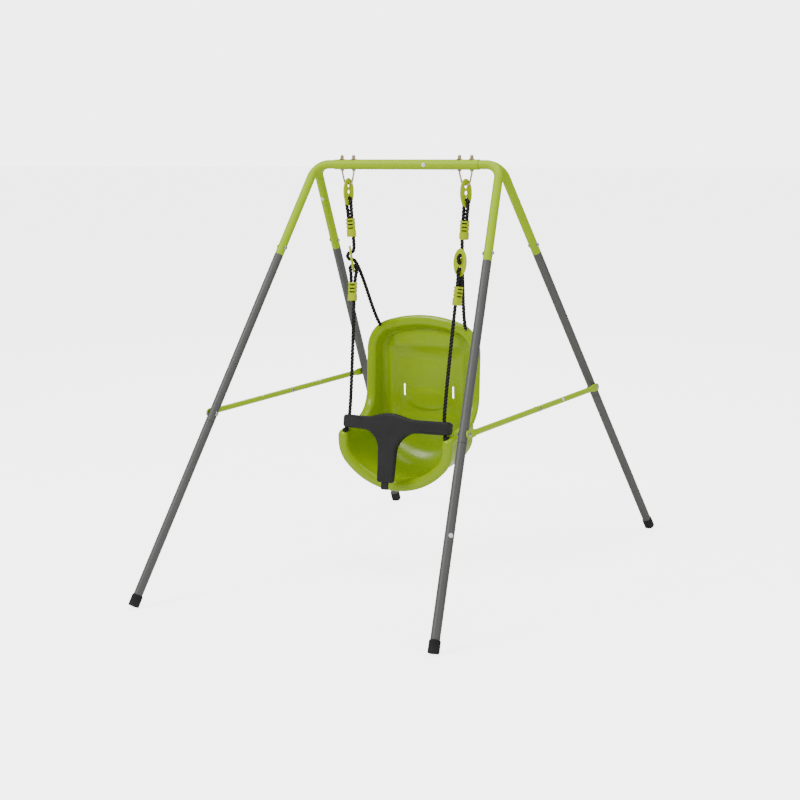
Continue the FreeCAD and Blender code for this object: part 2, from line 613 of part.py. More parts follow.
def front_outline(inset):
    """The seat's outline seen from the front: crowned top, straight sides, round bottom."""
    half = size("seat_half_width") - inset
    bottom = size("seat_bottom") + inset
    top = size("seat_top") - inset
    low_z = size("seat_bottom") + LOW_CORNER[1]
    high_z = size("seat_top") - HIGH_CORNER[1]
    low_r = LOW_CORNER[0] - inset
    high_r = HIGH_CORNER[0] - inset

    def big_radius(end_z, small_z, small_r):
        """Radius of the arc that is level at the end and tangent to the small arc."""
        rise = abs(end_z - small_z)
        reach = half - small_r
        return (reach ** 2 + rise ** 2 - small_r ** 2) / (2 * (rise - small_r))

    points = []
    for end_z, small_z, small_r in ((bottom, low_z, low_r), (top, high_z, high_r)):
        big_r = big_radius(end_z, small_z, small_r)
        way = 1 if end_z > small_z else -1
        big_center = V(0, 0, end_z - way * big_r)
        small_center = V(half - small_r, 0, small_z)
        meet = small_center + unit(small_center - big_center) * small_r
        corner_way = unit(unit(meet - small_center) + V(1, 0, 0))
        points.append((V(0, 0, end_z), meet, small_center + corner_way * small_r,
                       V(half, 0, small_z)))
    (foot, low_meet, low_mid, low_side), (crown, high_meet, high_mid, high_side) = points

    def flip(point):
        return V(-point.x, 0, point.z)

    edges = [Part.Arc(flip(low_meet), foot, low_meet), Part.Arc(low_meet, low_mid, low_side),
             Part.LineSegment(low_side, high_side), Part.Arc(high_side, high_mid, high_meet),
             Part.Arc(high_meet, crown, flip(high_meet)),
             Part.Arc(flip(high_meet), flip(high_mid), flip(high_side)),
             Part.LineSegment(flip(high_side), flip(low_side)),
             Part.Arc(flip(low_side), flip(low_mid), flip(low_meet))]
    wire = Part.Wire([edge.toShape() for edge in edges])
    wire.translate(V(0, -BIG, 0))
    return Part.Face(wire).extrude(V(0, 2 * BIG, 0))


def side_slab(outline, radii):
    """A side view outline in the YZ plane, its corners rounded, drawn out across X."""
    points = [V(-BIG, y, z) for y, z in outline]
    path = rounded_path(points, radii)
    closing = Part.LineSegment(points[-1], points[0]).toShape()
    wire = Part.Wire(path.Edges + [closing])
    return Part.Face(wire).extrude(V(2 * BIG, 0, 0))


# The rim follows this line, seen from the side: up the back, round into the arm rests,
# over the front horns and down to the lip.
RIM_LINE = ((-92, 200), (-98, 396), (66, 432), (88, 760))
RIM_ROUNDS = (16, 85)


def rim_side(depth):
    """Everything within a given depth behind the rim line."""
    shifted = []
    for number, (y, z) in enumerate(RIM_LINE):
        before = RIM_LINE[max(number - 1, 0)]
        after = RIM_LINE[min(number + 1, len(RIM_LINE) - 1)]
        ways = []
        for start, end in ((before, (y, z)), ((y, z), after)):
            if start != end:
                run = unit(V(0, end[0] - start[0], end[1] - start[1]))
                ways.append(V(0, run.z, -run.y))
        bisector = unit(ways[0] + ways[-1])
        shift = bisector * (depth / bisector.dot(ways[0]))
        shifted.append((y + shift.y, z + shift.z))
    rounds = (max(RIM_ROUNDS[0] - depth, 2), RIM_ROUNDS[1] + depth)
    back = 300
    outline = shifted + [(back, shifted[-1][1]), (back, shifted[0][1])]
    return side_slab(outline, list(rounds) + [1, 1])


wall = size("seat_wall")
floor_z = size("seat_bottom") + size("rim_width")
panel_y = 112
bowl_radius = 108
head_z = size("seat_top") - 8
head_slope = (12, 34)


def hollow_side(grow):
    """The seat's inside seen from the side, drawn bigger by a wall for its outside."""
    outline = ((-BIG, floor_z - grow), (panel_y + grow, floor_z - grow),
               (panel_y + grow, head_z - head_slope[1]),
               (panel_y - head_slope[0] + grow, head_z + grow), (-BIG, head_z + grow))
    return side_slab(outline, [bowl_radius + grow, 20, 12])


inner_front = front_outline(size("rim_width"))
shell_outside = hollow_side(wall).common(front_outline(size("rim_width") - wall))
shell_outside = shell_outside.common(rim_side(0))
shell_inside = hollow_side(0).common(inner_front)
behind_rim = rim_side(size("rim_thickness"))
rim_ring = rim_side(0).cut(behind_rim).common(front_outline(0)).cut(inner_front)
skirt_ring = front_outline(0).cut(front_outline(size("skirt_wall")))
skirt = rim_side(0).cut(rim_side(size("rim_skirt"))).common(skirt_ring)
seat = shell_outside.cut(shell_inside).fuse([rim_ring, skirt])

# Slots for a harness in the back, and the drain in the floor.
SLOT_WIDTH = 7
BACK_SLOT = V(80, 90, 476)
BACK_SLOT_HEIGHT = 36
DRAIN_START = 240
CUT_DEPTH = 60
for side_name, side in SIDES:
    seat = seat.cut(Part.makeBox(SLOT_WIDTH, CUT_DEPTH, BACK_SLOT_HEIGHT,
                                 V(side * BACK_SLOT.x - SLOT_WIDTH / 2, BACK_SLOT.y,
                                   BACK_SLOT.z)))
drain = stadium(15, 7.5, CUT_DEPTH, DRAIN_START)
drain.translate(V(0, -18, 0))
seat = seat.cut(drain)

# The front ropes pass the rim in rubber grommets and the rear ropes in plain holes.
grommet_radius = rope_hole + size("grommet_wall")
GROMMET_FLANGE = 1.8
GROMMET_LENGTH = 14
front_hole_x = size("seat_half_width") - size("front_hole_inset")
back_hole_x = size("seat_half_width") - size("back_hole_inset")
seat = seat.cut([tube_along(path, rope_hole) for path in rope_paths.values()])
grommets = {}
for side_name, side in SIDES:
    seat = seat.cut(through(V(side * back_hole_x, 88, 677), unit(V(0, 27, -6)), rope_hole, 40))
    hole_at = V(side * front_hole_x, -85.6, 391.5)
    seat = seat.cut(through(hole_at, V(0, 0, 1), grommet_radius, 40))
    grommets[side_name] = rod(hole_at, V(0, 0, 1), grommet_radius + GROMMET_FLANGE,
                              GROMMET_LENGTH)
feature("seat_shell", seat)
rope_cutters = [tube_along(path, rope_radius + 0.1) for path in rope_paths.values()]
for side_name, flange in grommets.items():
    solids = flange.cut([seat] + rope_cutters).Solids
    feature(f"rim_grommet_{side_name}", max(solids, key=lambda solid: solid.Volume))

# Each rope ends in a knot behind the rim.
KNOT_RADIUS = 8.5
KNOTS = {"suspension_rope": "rear_knot", "front_rope": "front_knot"}
for rope, route in ROPES.items():
    kind, side_name = rope.rsplit("_", 1)
    end, before = V(*route[-1]), V(*route[-2])
    ball = Part.makeSphere(KNOT_RADIUS, end + unit(end - before) * 2)
    feature(f"{KNOTS[kind]}_{side_name}", ball.cut(rope_solids[rope]))

# ---------------------------------------------------------------- guard bar
# The guard bar's local frame: X across, Z up along the front ropes, Y through its depth.
slide = unit(V(0, 0.1645, 1))
tee_place = FreeCAD.Placement(V(0, -81, 427), FreeCAD.Rotation(
    V(1, 0, 0), slide.cross(V(1, 0, 0)), slide, "ZYX"))
half_long = size("tee_half_length")
half_tall = size("tee_height") / 2
bow = size("tee_bow")
depth = size("tee_depth")
TEE_CORNER = 8
GUSSET = 58
STEM_TOP, STEM_FOOT = 28, 25
STEM_LENGTH = 163
SWELL_HALF, SWELL_RISE = 80, 20


def tee_outline():
    """The guard bar seen from the front: a swollen bar on a stem with curved gussets."""
    lip = [V(SWELL_HALF, 0, half_tall), V(half_long - TEE_CORNER, 0, half_tall),
           V(half_long, 0, half_tall - TEE_CORNER), V(half_long, 0, -half_tall + TEE_CORNER),
           V(half_long - TEE_CORNER, 0, -half_tall), V(STEM_TOP + GUSSET, 0, -half_tall)]
    stem = [V(STEM_TOP, 0, -half_tall - GUSSET), V(STEM_FOOT, 0, -STEM_LENGTH)]
    bend = V(STEM_TOP + GUSSET, 0, -half_tall - GUSSET) + unit(V(-1, 0, 1)) * GUSSET
    half = [Part.LineSegment(start, end) for start, end in zip(lip, lip[1:])]
    half += [Part.Arc(lip[-1], bend, stem[0]), Part.LineSegment(*stem)]
    right = Part.Wire([edge.toShape() for edge in half])
    left = right.mirror(V(0, 0, 0), V(1, 0, 0))
    swell = Part.BSplineCurve()
    swell.interpolate(Points=[V(-SWELL_HALF, 0, half_tall), V(0, 0, half_tall + SWELL_RISE),
                              V(SWELL_HALF, 0, half_tall)],
                      InitialTangent=V(1, 0, 0), FinalTangent=V(1, 0, 0))
    foot = Part.LineSegment(stem[-1], V(-stem[-1].x, 0, stem[-1].z)).toShape()
    edges = [swell.toShape(), foot] + right.Edges + left.Edges
    return Part.Face(Part.Wire(Part.sortEdges(edges)[0]))


def bowed_band():
    """The guard bar seen from above: a band bowed to the front, tall enough for all of it."""
    wide = half_long + TEE_CORNER
    low = -2 * STEM_LENGTH
    bow_radius = (size("tee_slot_x") ** 2 + bow ** 2) / (2 * bow)
    end_y = bow_radius - bow - math.sqrt(bow_radius ** 2 - wide ** 2)
    edges = [Part.Arc(V(-wide, end_y + offset, low), V(0, offset - bow, low),
                      V(wide, end_y + offset, low)) for offset in (-depth / 2, depth / 2)]
    edges += [Part.LineSegment(V(x, end_y - depth / 2, low), V(x, end_y + depth / 2, low))
              for x in (-wide, wide)]
    face = Part.Face(Part.Wire(Part.sortEdges([edge.toShape() for edge in edges])[0]))
    return face.extrude(V(0, 0, 3 * STEM_LENGTH))


tee = tee_outline()
tee.translate(V(0, -bow - depth, 0))
tee = tee.extrude(V(0, bow + 2 * depth, 0)).common(bowed_band())

# The stem thins towards its foot: its back is cut away by a slope.
STEM_KNEE = 90
stem_back = -bow - depth / 2 + size("stem_depth")
slope = [V(-half_long, 0, -half_tall), V(-half_long, stem_back, -STEM_KNEE),
         V(-half_long, stem_back, -2 * STEM_LENGTH), V(-half_long, depth, -2 * STEM_LENGTH),
         V(-half_long, depth, -half_tall)]
slope_face = Part.Face(Part.makePolygon(slope + slope[:1]))
tee = tee.cut(slope_face.extrude(V(2 * half_long, 0, 0)))

# A narrow tab below the stem reaches over the front lip of the seat.
TAB_WIDTH, TAB_THICKNESS, TAB_REACH, TAB_ROOT = 22, 6, 20, 4
tab = Part.makeBox(TAB_WIDTH, TAB_THICKNESS, TAB_REACH + TAB_ROOT,
                   V(-TAB_WIDTH / 2, 4 - bow - depth / 2, -STEM_LENGTH - TAB_REACH))
slot_radius = rope_radius + 1.3
for side in (-1, 1):
    slot = stadium(4.6, slot_radius, 4 * half_tall, -2 * half_tall)
    slot.translate(V(side * size("tee_slot_x"), 0, 0))
    tee = tee.cut(slot)
tee = tee.fuse(tab)
feature("guard_bar", tee, tee_place)

# ---------------------------------------------------------------- check and write
doc.recompute()
faults = [thing.Name for thing in doc.Objects
          if "Invalid" in thing.State or "Error" in thing.State]
faults += [thing.Label for thing in nodes if thing.Shape.isNull() or not thing.Shape.isValid()]
if faults:
    raise SystemExit("faulty: " + ", ".join(faults))
whole = FreeCAD.BoundBox()
os.makedirs("parts", exist_ok=True)
for thing in nodes:
    whole.add(thing.Shape.optimalBoundingBox(False, False))
    thing.Shape.exportStep(f"parts/{thing.Label}.step")
print(len(nodes), "nodes; overall", round(whole.XLength, 1), round(whole.YLength, 1),
      round(whole.ZLength, 1), "lowest", round(whole.ZMin, 2))
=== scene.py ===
import math

import bmesh
import bpy
import numpy
from mathutils import Matrix, Vector


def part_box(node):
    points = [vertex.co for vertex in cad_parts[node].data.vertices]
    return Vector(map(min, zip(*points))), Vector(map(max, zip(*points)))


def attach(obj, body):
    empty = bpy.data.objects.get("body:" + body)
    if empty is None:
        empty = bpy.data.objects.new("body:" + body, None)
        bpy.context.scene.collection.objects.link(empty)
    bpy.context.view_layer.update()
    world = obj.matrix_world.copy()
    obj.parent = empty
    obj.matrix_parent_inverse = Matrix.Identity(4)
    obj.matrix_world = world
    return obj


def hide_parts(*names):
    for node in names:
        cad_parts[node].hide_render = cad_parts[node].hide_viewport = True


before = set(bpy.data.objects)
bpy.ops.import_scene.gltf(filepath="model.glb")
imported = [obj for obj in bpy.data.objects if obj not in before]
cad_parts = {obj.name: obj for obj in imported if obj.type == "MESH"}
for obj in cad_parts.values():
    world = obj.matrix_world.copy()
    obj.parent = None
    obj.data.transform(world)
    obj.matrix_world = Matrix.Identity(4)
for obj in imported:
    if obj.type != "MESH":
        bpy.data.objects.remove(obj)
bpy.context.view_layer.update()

# ------------------------------------------------------------------ camera, lights and floor
# The set stands on a wide pale floor. The camera looks at it from in front and well to the
# right, at the height of a grown-up's chest, through a long lens.
AIM = Vector((-0.0305, 0, 0.483))
DISTANCE = 4.9755
AZIMUTH, ELEVATION, ROLL = (math.radians(angle) for angle in (29.40, 9.55, -0.92))
backward = Vector((math.sin(AZIMUTH) * math.cos(ELEVATION),
                   -math.cos(AZIMUTH) * math.cos(ELEVATION), math.sin(ELEVATION)))
rightward = Vector((math.cos(AZIMUTH), math.sin(AZIMUTH), 0))
upward = backward.cross(rightward)
across = math.cos(ROLL) * rightward + math.sin(ROLL) * upward
raised = math.cos(ROLL) * upward - math.sin(ROLL) * rightward
lens = bpy.data.cameras.new("camera")
lens.sensor_width = 36
lens.lens = 78.1
lens.clip_end = 100
camera = bpy.data.objects.new("camera", lens)
camera.matrix_world = Matrix.Translation(AIM + backward * DISTANCE) @ Matrix(
    (across, raised, backward)).transposed().to_4x4()
bpy.context.scene.collection.objects.link(camera)
bpy.context.scene.camera = camera


def soft_box(name, place, width, watts):
    """A square studio lamp that faces the middle of the set."""
    lamp = bpy.data.lights.new(name, "AREA")
    lamp.size = width
    lamp.energy = watts
    holder = bpy.data.objects.new(name, lamp)
    holder.location = place
    holder.rotation_euler = (Vector((0, 0, 0.6)) - holder.location).to_track_quat(
        "-Z", "Y").to_euler()
    bpy.context.scene.collection.objects.link(holder)


soft_box("key_lamp", (-2.2, -3.4, 4.4), 1.9, 210)
soft_box("fill_lamp", (4.6, -2.2, 2.6), 2.4, 60)
soft_box("top_lamp", (0.4, 0.4, 4.6), 2.6, 95)
soft_box("rear_lamp", (-2.5, 4.2, 3.4), 2.4, 60)

# The room is evenly lit, and its walls and paper show brighter than the light they give.
ROOM_LIGHT = 0.62
ROOM_MIRRORED = 0.22
ROOM_SEEN = 4.7
PAPER_SEEN = 3.75
studio = bpy.data.worlds.new("studio")
studio.use_nodes = True
room = studio.node_tree
room_glow = room.nodes["Background"]
room_glow.inputs["Color"].default_value = (1, 1, 0.995, 1)
room_sight = room.nodes.new("ShaderNodeLightPath")
room_level = room.nodes.new("ShaderNodeMapRange")
room_level.inputs["To Min"].default_value = ROOM_LIGHT
room_level.inputs["To Max"].default_value = ROOM_SEEN
room.links.new(room_sight.outputs["Is Camera Ray"], room_level.inputs["Value"])
room_mirror = room.nodes.new("ShaderNodeMapRange")
room_mirror.inputs["To Min"].default_value = 0
room_mirror.inputs["To Max"].default_value = ROOM_LIGHT - ROOM_MIRRORED
room.links.new(room_sight.outputs["Is Glossy Ray"], room_mirror.inputs["Value"])
room_total = room.nodes.new("ShaderNodeMath")
room_total.operation = "SUBTRACT"
room.links.new(room_level.outputs["Result"], room_total.inputs[0])
room.links.new(room_mirror.outputs["Result"], room_total.inputs[1])
room.links.new(room_total.outputs["Value"], room_glow.inputs["Strength"])
bpy.context.scene.world = studio


# ------------------------------------------------------------------ how a finish is written


class Wire:
    """One shader value. Sums on it become Math nodes of the finish that it belongs to."""

    def __init__(self, finish, socket):
        self.finish = finish
        self.socket = socket

    def sum(self, operation, first, second):
        return self.finish.node("Math", {"operation": operation}, {0: first, 1: second})

    def __add__(self, other):
        return self.sum("ADD", self, other)

    def __sub__(self, other):
        return self.sum("SUBTRACT", self, other)

    def __rsub__(self, other):
        return self.sum("SUBTRACT", other, self)

    def __mul__(self, other):
        return self.sum("MULTIPLY", self, other)

    __radd__ = __add__
    __rmul__ = __mul__


class Finish:
    """A material of one of the set's own finishes, with its surface shader at hand."""

    def __init__(self, name, **settings):
        self.material = bpy.data.materials.new(name)
        self.material.use_nodes = True
        self.tree = self.material.node_tree
        self.shader = self.tree.nodes["Principled BSDF"]
        for key, value in settings.items():
            self.shader.inputs[key.replace("_", " ")].default_value = value

    def node(self, kind, settings, values, output=0):
        made = self.tree.nodes.new("ShaderNode" + kind)
        for key, value in settings.items():
            if key == "stops":
                ramp = made.color_ramp
                while len(ramp.elements) < len(value):
                    ramp.elements.new(0.5)
                for element, (place, shade) in zip(ramp.elements, value):
                    element.position = place
                    element.color = (*shade, 1)
            else:
                setattr(made, key, value)
        for key, value in values.items():
            if isinstance(value, Wire):
                self.tree.links.new(value.socket, made.inputs[key])
            else:
                made.inputs[key].default_value = value
        return Wire(self, made.outputs[output])

    def place(self):
        """Where a point of the surface is, in metres."""
        return self.node("TexCoord", {}, {}, "Object")

    def grain(self, scale, detail=2.0, rough=0.5, where=None):
        """Noise from 0 to 1; scale is in features for each metre."""
        return self.node("TexNoise", {}, {"Vector": where or self.place(), "Scale": scale,
                                          "Detail": detail, "Roughness": rough}, "Fac")

    def shades(self, amount, *stops):
        """A colour that runs through the given ones as amount goes from 0 to 1."""
        steps = [(number / (len(stops) - 1), shade) for number, shade in enumerate(stops)]
        return self.node("ValToRGB", {"stops": steps}, {"Fac": amount}, "Color")

    def blend(self, amount, first, second):
        return self.node("Mix", {"data_type": "RGBA"},
                         {"Factor": amount, "A": first, "B": second}, "Result")

    def feeds(self, **wires):
        for key, wire in wires.items():
            self.tree.links.new(wire.socket, self.shader.inputs[key.replace("_", " ")])

    def bumps(self, height, distance, strength=1.0):
        """Height from 0 to 1 stands the given distance proud, in metres."""
        self.feeds(Normal=self.node("Bump", {}, {"Height": height, "Distance": distance,
                                                 "Strength": strength}, "Normal"))


def wears(finish, *names):
    """Puts a finish on CAD nodes."""
    for name in names:
        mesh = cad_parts[name].data
        mesh.materials.clear()
        mesh.materials.append(finish.material)


# The floor is plain pale paper, wide enough to fill the view.
floor_mesh = bpy.data.meshes.new("floor")
floor_mesh.from_pydata([(x, y, -0.0004) for x, y in
                        ((-30, -30), (30, -30), (30, 30), (-30, 30))], [], [(0, 1, 2, 3)])
floor = bpy.data.objects.new("floor", floor_mesh)
bpy.context.scene.collection.objects.link(floor)
paper = Finish("pale_paper", Roughness=0.9)
paper.feeds(Base_Color=paper.shades(paper.grain(3, 3), (0.80, 0.80, 0.795), (0.83, 0.83, 0.825)))
glow = paper.node("Emission", {}, {"Color": (1, 1, 0.995, 1), "Strength": PAPER_SEEN})
lit = paper.node("AddShader", {}, {0: glow, 1: Wire(paper, paper.shader.outputs[0])})
sight = paper.node("LightPath", {}, {}, "Is Camera Ray")
seen = paper.node("MixShader", {}, {0: sight, 1: Wire(paper, paper.shader.outputs[0]), 2: lit})
paper.tree.links.new(seen.socket, paper.tree.nodes["Material Output"].inputs["Surface"])
floor_mesh.materials.append(paper.material)

# ------------------------------------------------------------------ ropes and their knots
# Four lengths of black three-strand polypropylene rope, 10 mm thick. Each starts clamped in a
# rope lock, loops through a plate, runs back through the lock and ends in a knot at the rim of
# the seat. The tips of the strands stand a tenth proud of the rope's own thickness.
ROPE_THICKNESS = 0.010
TIP_SHARE = 1.1
LAY_LENGTH = 0.030
STRAND_SHARE = 0.57
STRAND_OFFSET = 0.46
STRAND_SIDES = 8
ROUTES = {
    "suspension_rope_left": (
        (-0.1844, -0.004, 0.959), (-0.1886, -0.0027, 1.0108), (-0.1964, 0.0018, 1.038),
        (-0.1968, 0.0019, 1.0572), (-0.1792, -0.0019, 1.0572), (-0.1796, -0.0018, 1.038),
        (-0.1796, 0.0005, 1.0108), (-0.174, -0.0011, 0.943), (-0.1699, -0.0048, 0.9037),
        (-0.1881, -0.015, 0.9007), (-0.1851, -0.0151, 0.8825), (-0.1628, -0.0027, 0.8841),
        (-0.139, 0.074, 0.680), (-0.139, 0.101, 0.674)),
    "suspension_rope_right": (
        (0.1844, 0.0039, 0.959), (0.1886, 0.0027, 1.0108), (0.1959, -0.0034, 1.038),
        (0.1963, -0.0035, 1.0572), (0.1797, 0.0035, 1.0572), (0.1801, 0.0034, 1.038),
        (0.1796, -0.0005, 1.0108), (0.174, 0.0011, 0.943), (0.1734, 0.002, 0.9016),
        (0.1734, -0.019, 0.9032), (0.173, -0.0205, 0.8848), (0.1725, 0.005, 0.8828),
        (0.139, 0.074, 0.680), (0.139, 0.101, 0.674)),
    "front_rope_left": (
        (-0.1734, -0.0235, 0.7807), (-0.1755, -0.0155, 0.827), (-0.1771, -0.0145, 0.8449),
        (-0.1808, -0.0145, 0.8645), (-0.1652, -0.0057, 0.8671), (-0.1623, -0.0061, 0.8473),
        (-0.1665, -0.0123, 0.827), (-0.149, -0.0795, 0.436), (-0.163, -0.0856, 0.3965),
        (-0.1665, -0.0835, 0.384)),
    "front_rope_right": (
        (0.1712, -0.017, 0.7807), (0.1736, -0.0097, 0.8271), (0.1722, -0.0045, 0.845),
        (0.1726, -0.0025, 0.8649), (0.1726, -0.0205, 0.8663), (0.1722, -0.0217, 0.8464),
        (0.1688, -0.0181, 0.8271), (0.149, -0.0795, 0.436), (0.163, -0.0856, 0.3965),
        (0.1665, -0.0835, 0.384)),
}


def smooth_line(name, route, closed=False):
    """Points along the smooth curve that a route's points steer."""
    curve = bpy.data.curves.new(name, "CURVE")
    curve.dimensions = "3D"
    curve.resolution_u = 24
    spline = curve.splines.new("NURBS")
    spline.points.add(len(route) - 1)
    for steer, point in zip(spline.points, route):
        steer.co = (*point, 1)
    spline.order_u = 3
    spline.use_endpoint_u = not closed
    spline.use_cyclic_u = closed
    holder = bpy.data.objects.new(name, curve)
    return [vertex.co.copy() for vertex in bpy.data.meshes.new_from_object(holder).vertices]


def evenly(line, step):
    """The same line with its points a fixed step apart, and the distance along to each."""
    laid = [0.0]
    for last, point in zip(line, line[1:]):
        laid.append(laid[-1] + (point - last).length)
    count = max(2, round(laid[-1] / step))
    points, distances = [], []
    span = 0
    for number in range(count + 1):
        distance = laid[-1] * number / count
        while span < len(line) - 2 and laid[span + 1] < distance:
            span += 1
        share = (distance - laid[span]) / (laid[span + 1] - laid[span])
        points.append(line[span].lerp(line[span + 1], share))
        distances.append(distance)
    return points, distances


def laid_rope(name, line, thickness, finish, step=0.0016, lay=LAY_LENGTH):
    """Three strands twisted round a line, as one skin that shows every strand."""
    points, distances = evenly(line, step)
    strand, offset = STRAND_SHARE * thickness / 2, STRAND_OFFSET * thickness / 2
    sides = STRAND_SIDES
    mesh = bmesh.new()
    layer = mesh.loops.layers.uv.new("lay")
    side = (points[1] - points[0]).orthogonal().normalized()
    rings = []
    for number, (point, distance) in enumerate(zip(points, distances)):
        ahead = points[min(number + 1, len(points) - 1)] - points[max(number - 1, 0)]
        side = (side - ahead * side.dot(ahead) / ahead.length_squared).normalized()
        other = ahead.normalized().cross(side)
        ring = []
        for corner in range(3 * sides):
            turn = (corner % sides / sides - 0.5) * math.tau / 3
            reach = offset * math.cos(turn) + math.sqrt(
                strand ** 2 - (offset * math.sin(turn)) ** 2)
            angle = corner / (3 * sides) * math.tau + math.tau * distance / lay
            way = side * math.cos(angle) + other * math.sin(angle)
            ring.append(mesh.verts.new(point + way * reach))
        rings.append(ring)
    for number, (ring, onward) in enumerate(zip(rings, rings[1:])):
        for corner in range(3 * sides):
            beside = (corner + 1) % (3 * sides)
            face = mesh.faces.new((ring[corner], ring[beside], onward[beside], onward[corner]))
            face.smooth = True
            for loop, (step_round, step_on) in zip(face.loops, ((0, 0), (1, 0), (1, 1), (0, 1))):
                loop[layer].uv = ((corner + step_round) / sides, distances[number + step_on])
    mesh.faces.new(list(reversed(rings[0])))
    mesh.faces.new(rings[-1])
    data = bpy.data.meshes.new(name)
    mesh.to_mesh(data)
    mesh.free()
    data.materials.append(finish.material)
    rope = bpy.data.objects.new(name, data)
    bpy.context.scene.collection.objects.link(rope)
    return rope, points


# Each strand is a bundle of fine glossy yarns, twisted the other way from the strands.
black_rope = Finish("black_rope", Specular_IOR_Level=0.28)
lay_place = black_rope.node("UVMap", {"uv_map": "lay"}, {})
apart = black_rope.node("SeparateXYZ", {}, {"Vector": lay_place}, "X")
along = black_rope.node("SeparateXYZ", {}, {"Vector": lay_place}, "Y")
YARNS = 7
YARN_PITCH = 0.011
yarn = (apart * YARNS + along * (1 / YARN_PITCH)) * math.tau
ridge = black_rope.node("Math", {"operation": "SINE"}, {0: yarn}) * 0.5 + 0.5
hairs = black_rope.grain(2600, 3, 0.6)
# Painted highlight and shade: the crest of each strand is painted lighter and the valleys between
# strands darker, and the yarn ridges paint the same on a finer scale.
painted_crest_highlight = black_rope.node("Math", {"operation": "SINE"}, {0: apart * math.pi})
painted_crest_highlight = black_rope.node("Math", {"operation": "ABSOLUTE"}, {0: painted_crest_highlight})
painted_crest_highlight = black_rope.node("Math", {"operation": "POWER"}, {0: painted_crest_highlight, 1: 3.0})
black_rope.feeds(
    Base_Color=black_rope.shades(painted_crest_highlight * 0.65 + ridge * 0.2 + hairs * 0.15,
                                 (0.001, 0.001, 0.001), (0.006, 0.006, 0.006),
                                 (0.050, 0.049, 0.047)),
    Roughness=0.50 - ridge * 0.16)
black_rope.bumps(ridge * 0.75 + hairs * 0.25, 0.00045)

KNOTS = {"suspension_rope": "rear_knot", "front_rope": "front_knot"}
KNOT_POINTS = 12
KNOT_RADIUS, KNOT_WAVE, KNOT_RISE = 0.0036, 0.0018, 0.0026
KNOT_ROPE, KNOT_STEP, KNOT_LAY = 0.0080, 0.001, 0.018
for name, route in ROUTES.items():
    rope, path = laid_rope(name + "_laid", smooth_line(name + "_line", route),
                           ROPE_THICKNESS * TIP_SHARE, black_rope)
    kind, side_name = name.rsplit("_", 1)
    knot_node = f"{KNOTS[kind]}_{side_name}"

    # The knot is a small trefoil, as an overhand knot looks when it is pulled tight.
    low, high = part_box(knot_node)
    middle = (low + high) / 2
    heading = (path[-1] - path[-4]).normalized()
    turn = heading.to_track_quat("Z", "Y")
    knot_line = []
    for number in range(KNOT_POINTS + 1):
        angle = math.tau * number / KNOT_POINTS
        round_r = KNOT_RADIUS + KNOT_WAVE * math.cos(3 * angle)
        knot_line.append(middle + turn @ Vector((
            round_r * math.cos(2 * angle), round_r * math.sin(2 * angle),
            KNOT_RISE * math.sin(3 * angle))))
    knot, _ = laid_rope(f"{knot_node}_tied",
                        smooth_line(f"{knot_node}_line", knot_line[:-1] + knot_line[:1]),
                        KNOT_ROPE, black_rope, KNOT_STEP, KNOT_LAY)
    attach(rope, "swing")
    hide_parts(name)
    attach(knot, "swing")
    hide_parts(knot_node)
    length = sum((later - point).length for point, later in zip(path, path[1:]))


# ------------------------------------------------------------------ green tubes
# The crossbar, the two corner weldments and the side braces are steel tube in a yellow-green
# powder coat. The coat has a faint orange peel, and is a little thinner on some stretches.


def powder_coat(name, deep, usual, thin, **settings):
    coat = Finish(name, **settings)
    pools = coat.grain(14, 3, 0.6)
    specks = coat.grain(1500, 2, 0.6)
    peel = coat.grain(420, 2, 0.45)
    coat.feeds(Base_Color=coat.shades(pools * 0.75 + specks * 0.25, deep, usual, thin),
               Roughness=0.30 + pools * 0.10 + specks * 0.08)
    coat.bumps(peel * 0.8 + specks * 0.2, 0.00022)
    return coat


lime_paint = powder_coat("lime_paint", (0.285, 0.455, 0.0), (0.325, 0.50, 0.0),
                         (0.37, 0.54, 0.0), Specular_IOR_Level=0.18)
SIDES = {"left": -1, "right": 1}
ENDS = {"front": -1, "rear": 1}
wears(lime_paint, "crossbar", *[f"corner_fitting_{side}" for side in SIDES],
      *[f"brace_{end}_{side}" for end in ENDS for side in SIDES])

# ------------------------------------------------------------------ grey legs
# Each leg is two lengths of steel tube in a dark metallic grey powder coat, with fine bright
# flakes in it. Where the two lengths meet, a fine band of painted shade runs round it, for the
# shadowed crevice of the joint.
bar_low, bar_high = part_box("crossbar")
BAR_HEIGHT = (bar_low.z + bar_high.z) / 2
LEG_TOP = Vector((0.2935, 0, BAR_HEIGHT))
LEG_FOOT = Vector((0.456, 0.7212, 0))
LEG_DOWN = (LEG_FOOT - LEG_TOP).normalized()
LEG_SEAM = 0.817
SEAM_SHADE_WIDTH = 0.0011
grey_paint = Finish("grey_paint", Specular_IOR_Level=0.3)
pools = grey_paint.grain(9, 3, 0.6)
flakes = grey_paint.node("TexVoronoi", {"feature": "F1"},
                         {"Vector": grey_paint.place(), "Scale": 1400.0}, "Color")
flake = grey_paint.node("SeparateXYZ", {}, {"Vector": flakes}, "X")
leg_place = grey_paint.place()
down = 0
for number, axis in enumerate("XYZ"):
    part = grey_paint.node("SeparateXYZ", {}, {"Vector": leg_place}, axis)
    if axis != "Z":
        part = grey_paint.node("Math", {"operation": "ABSOLUTE"}, {0: part})
    down = (part - LEG_TOP[number]) * LEG_DOWN[number] + down
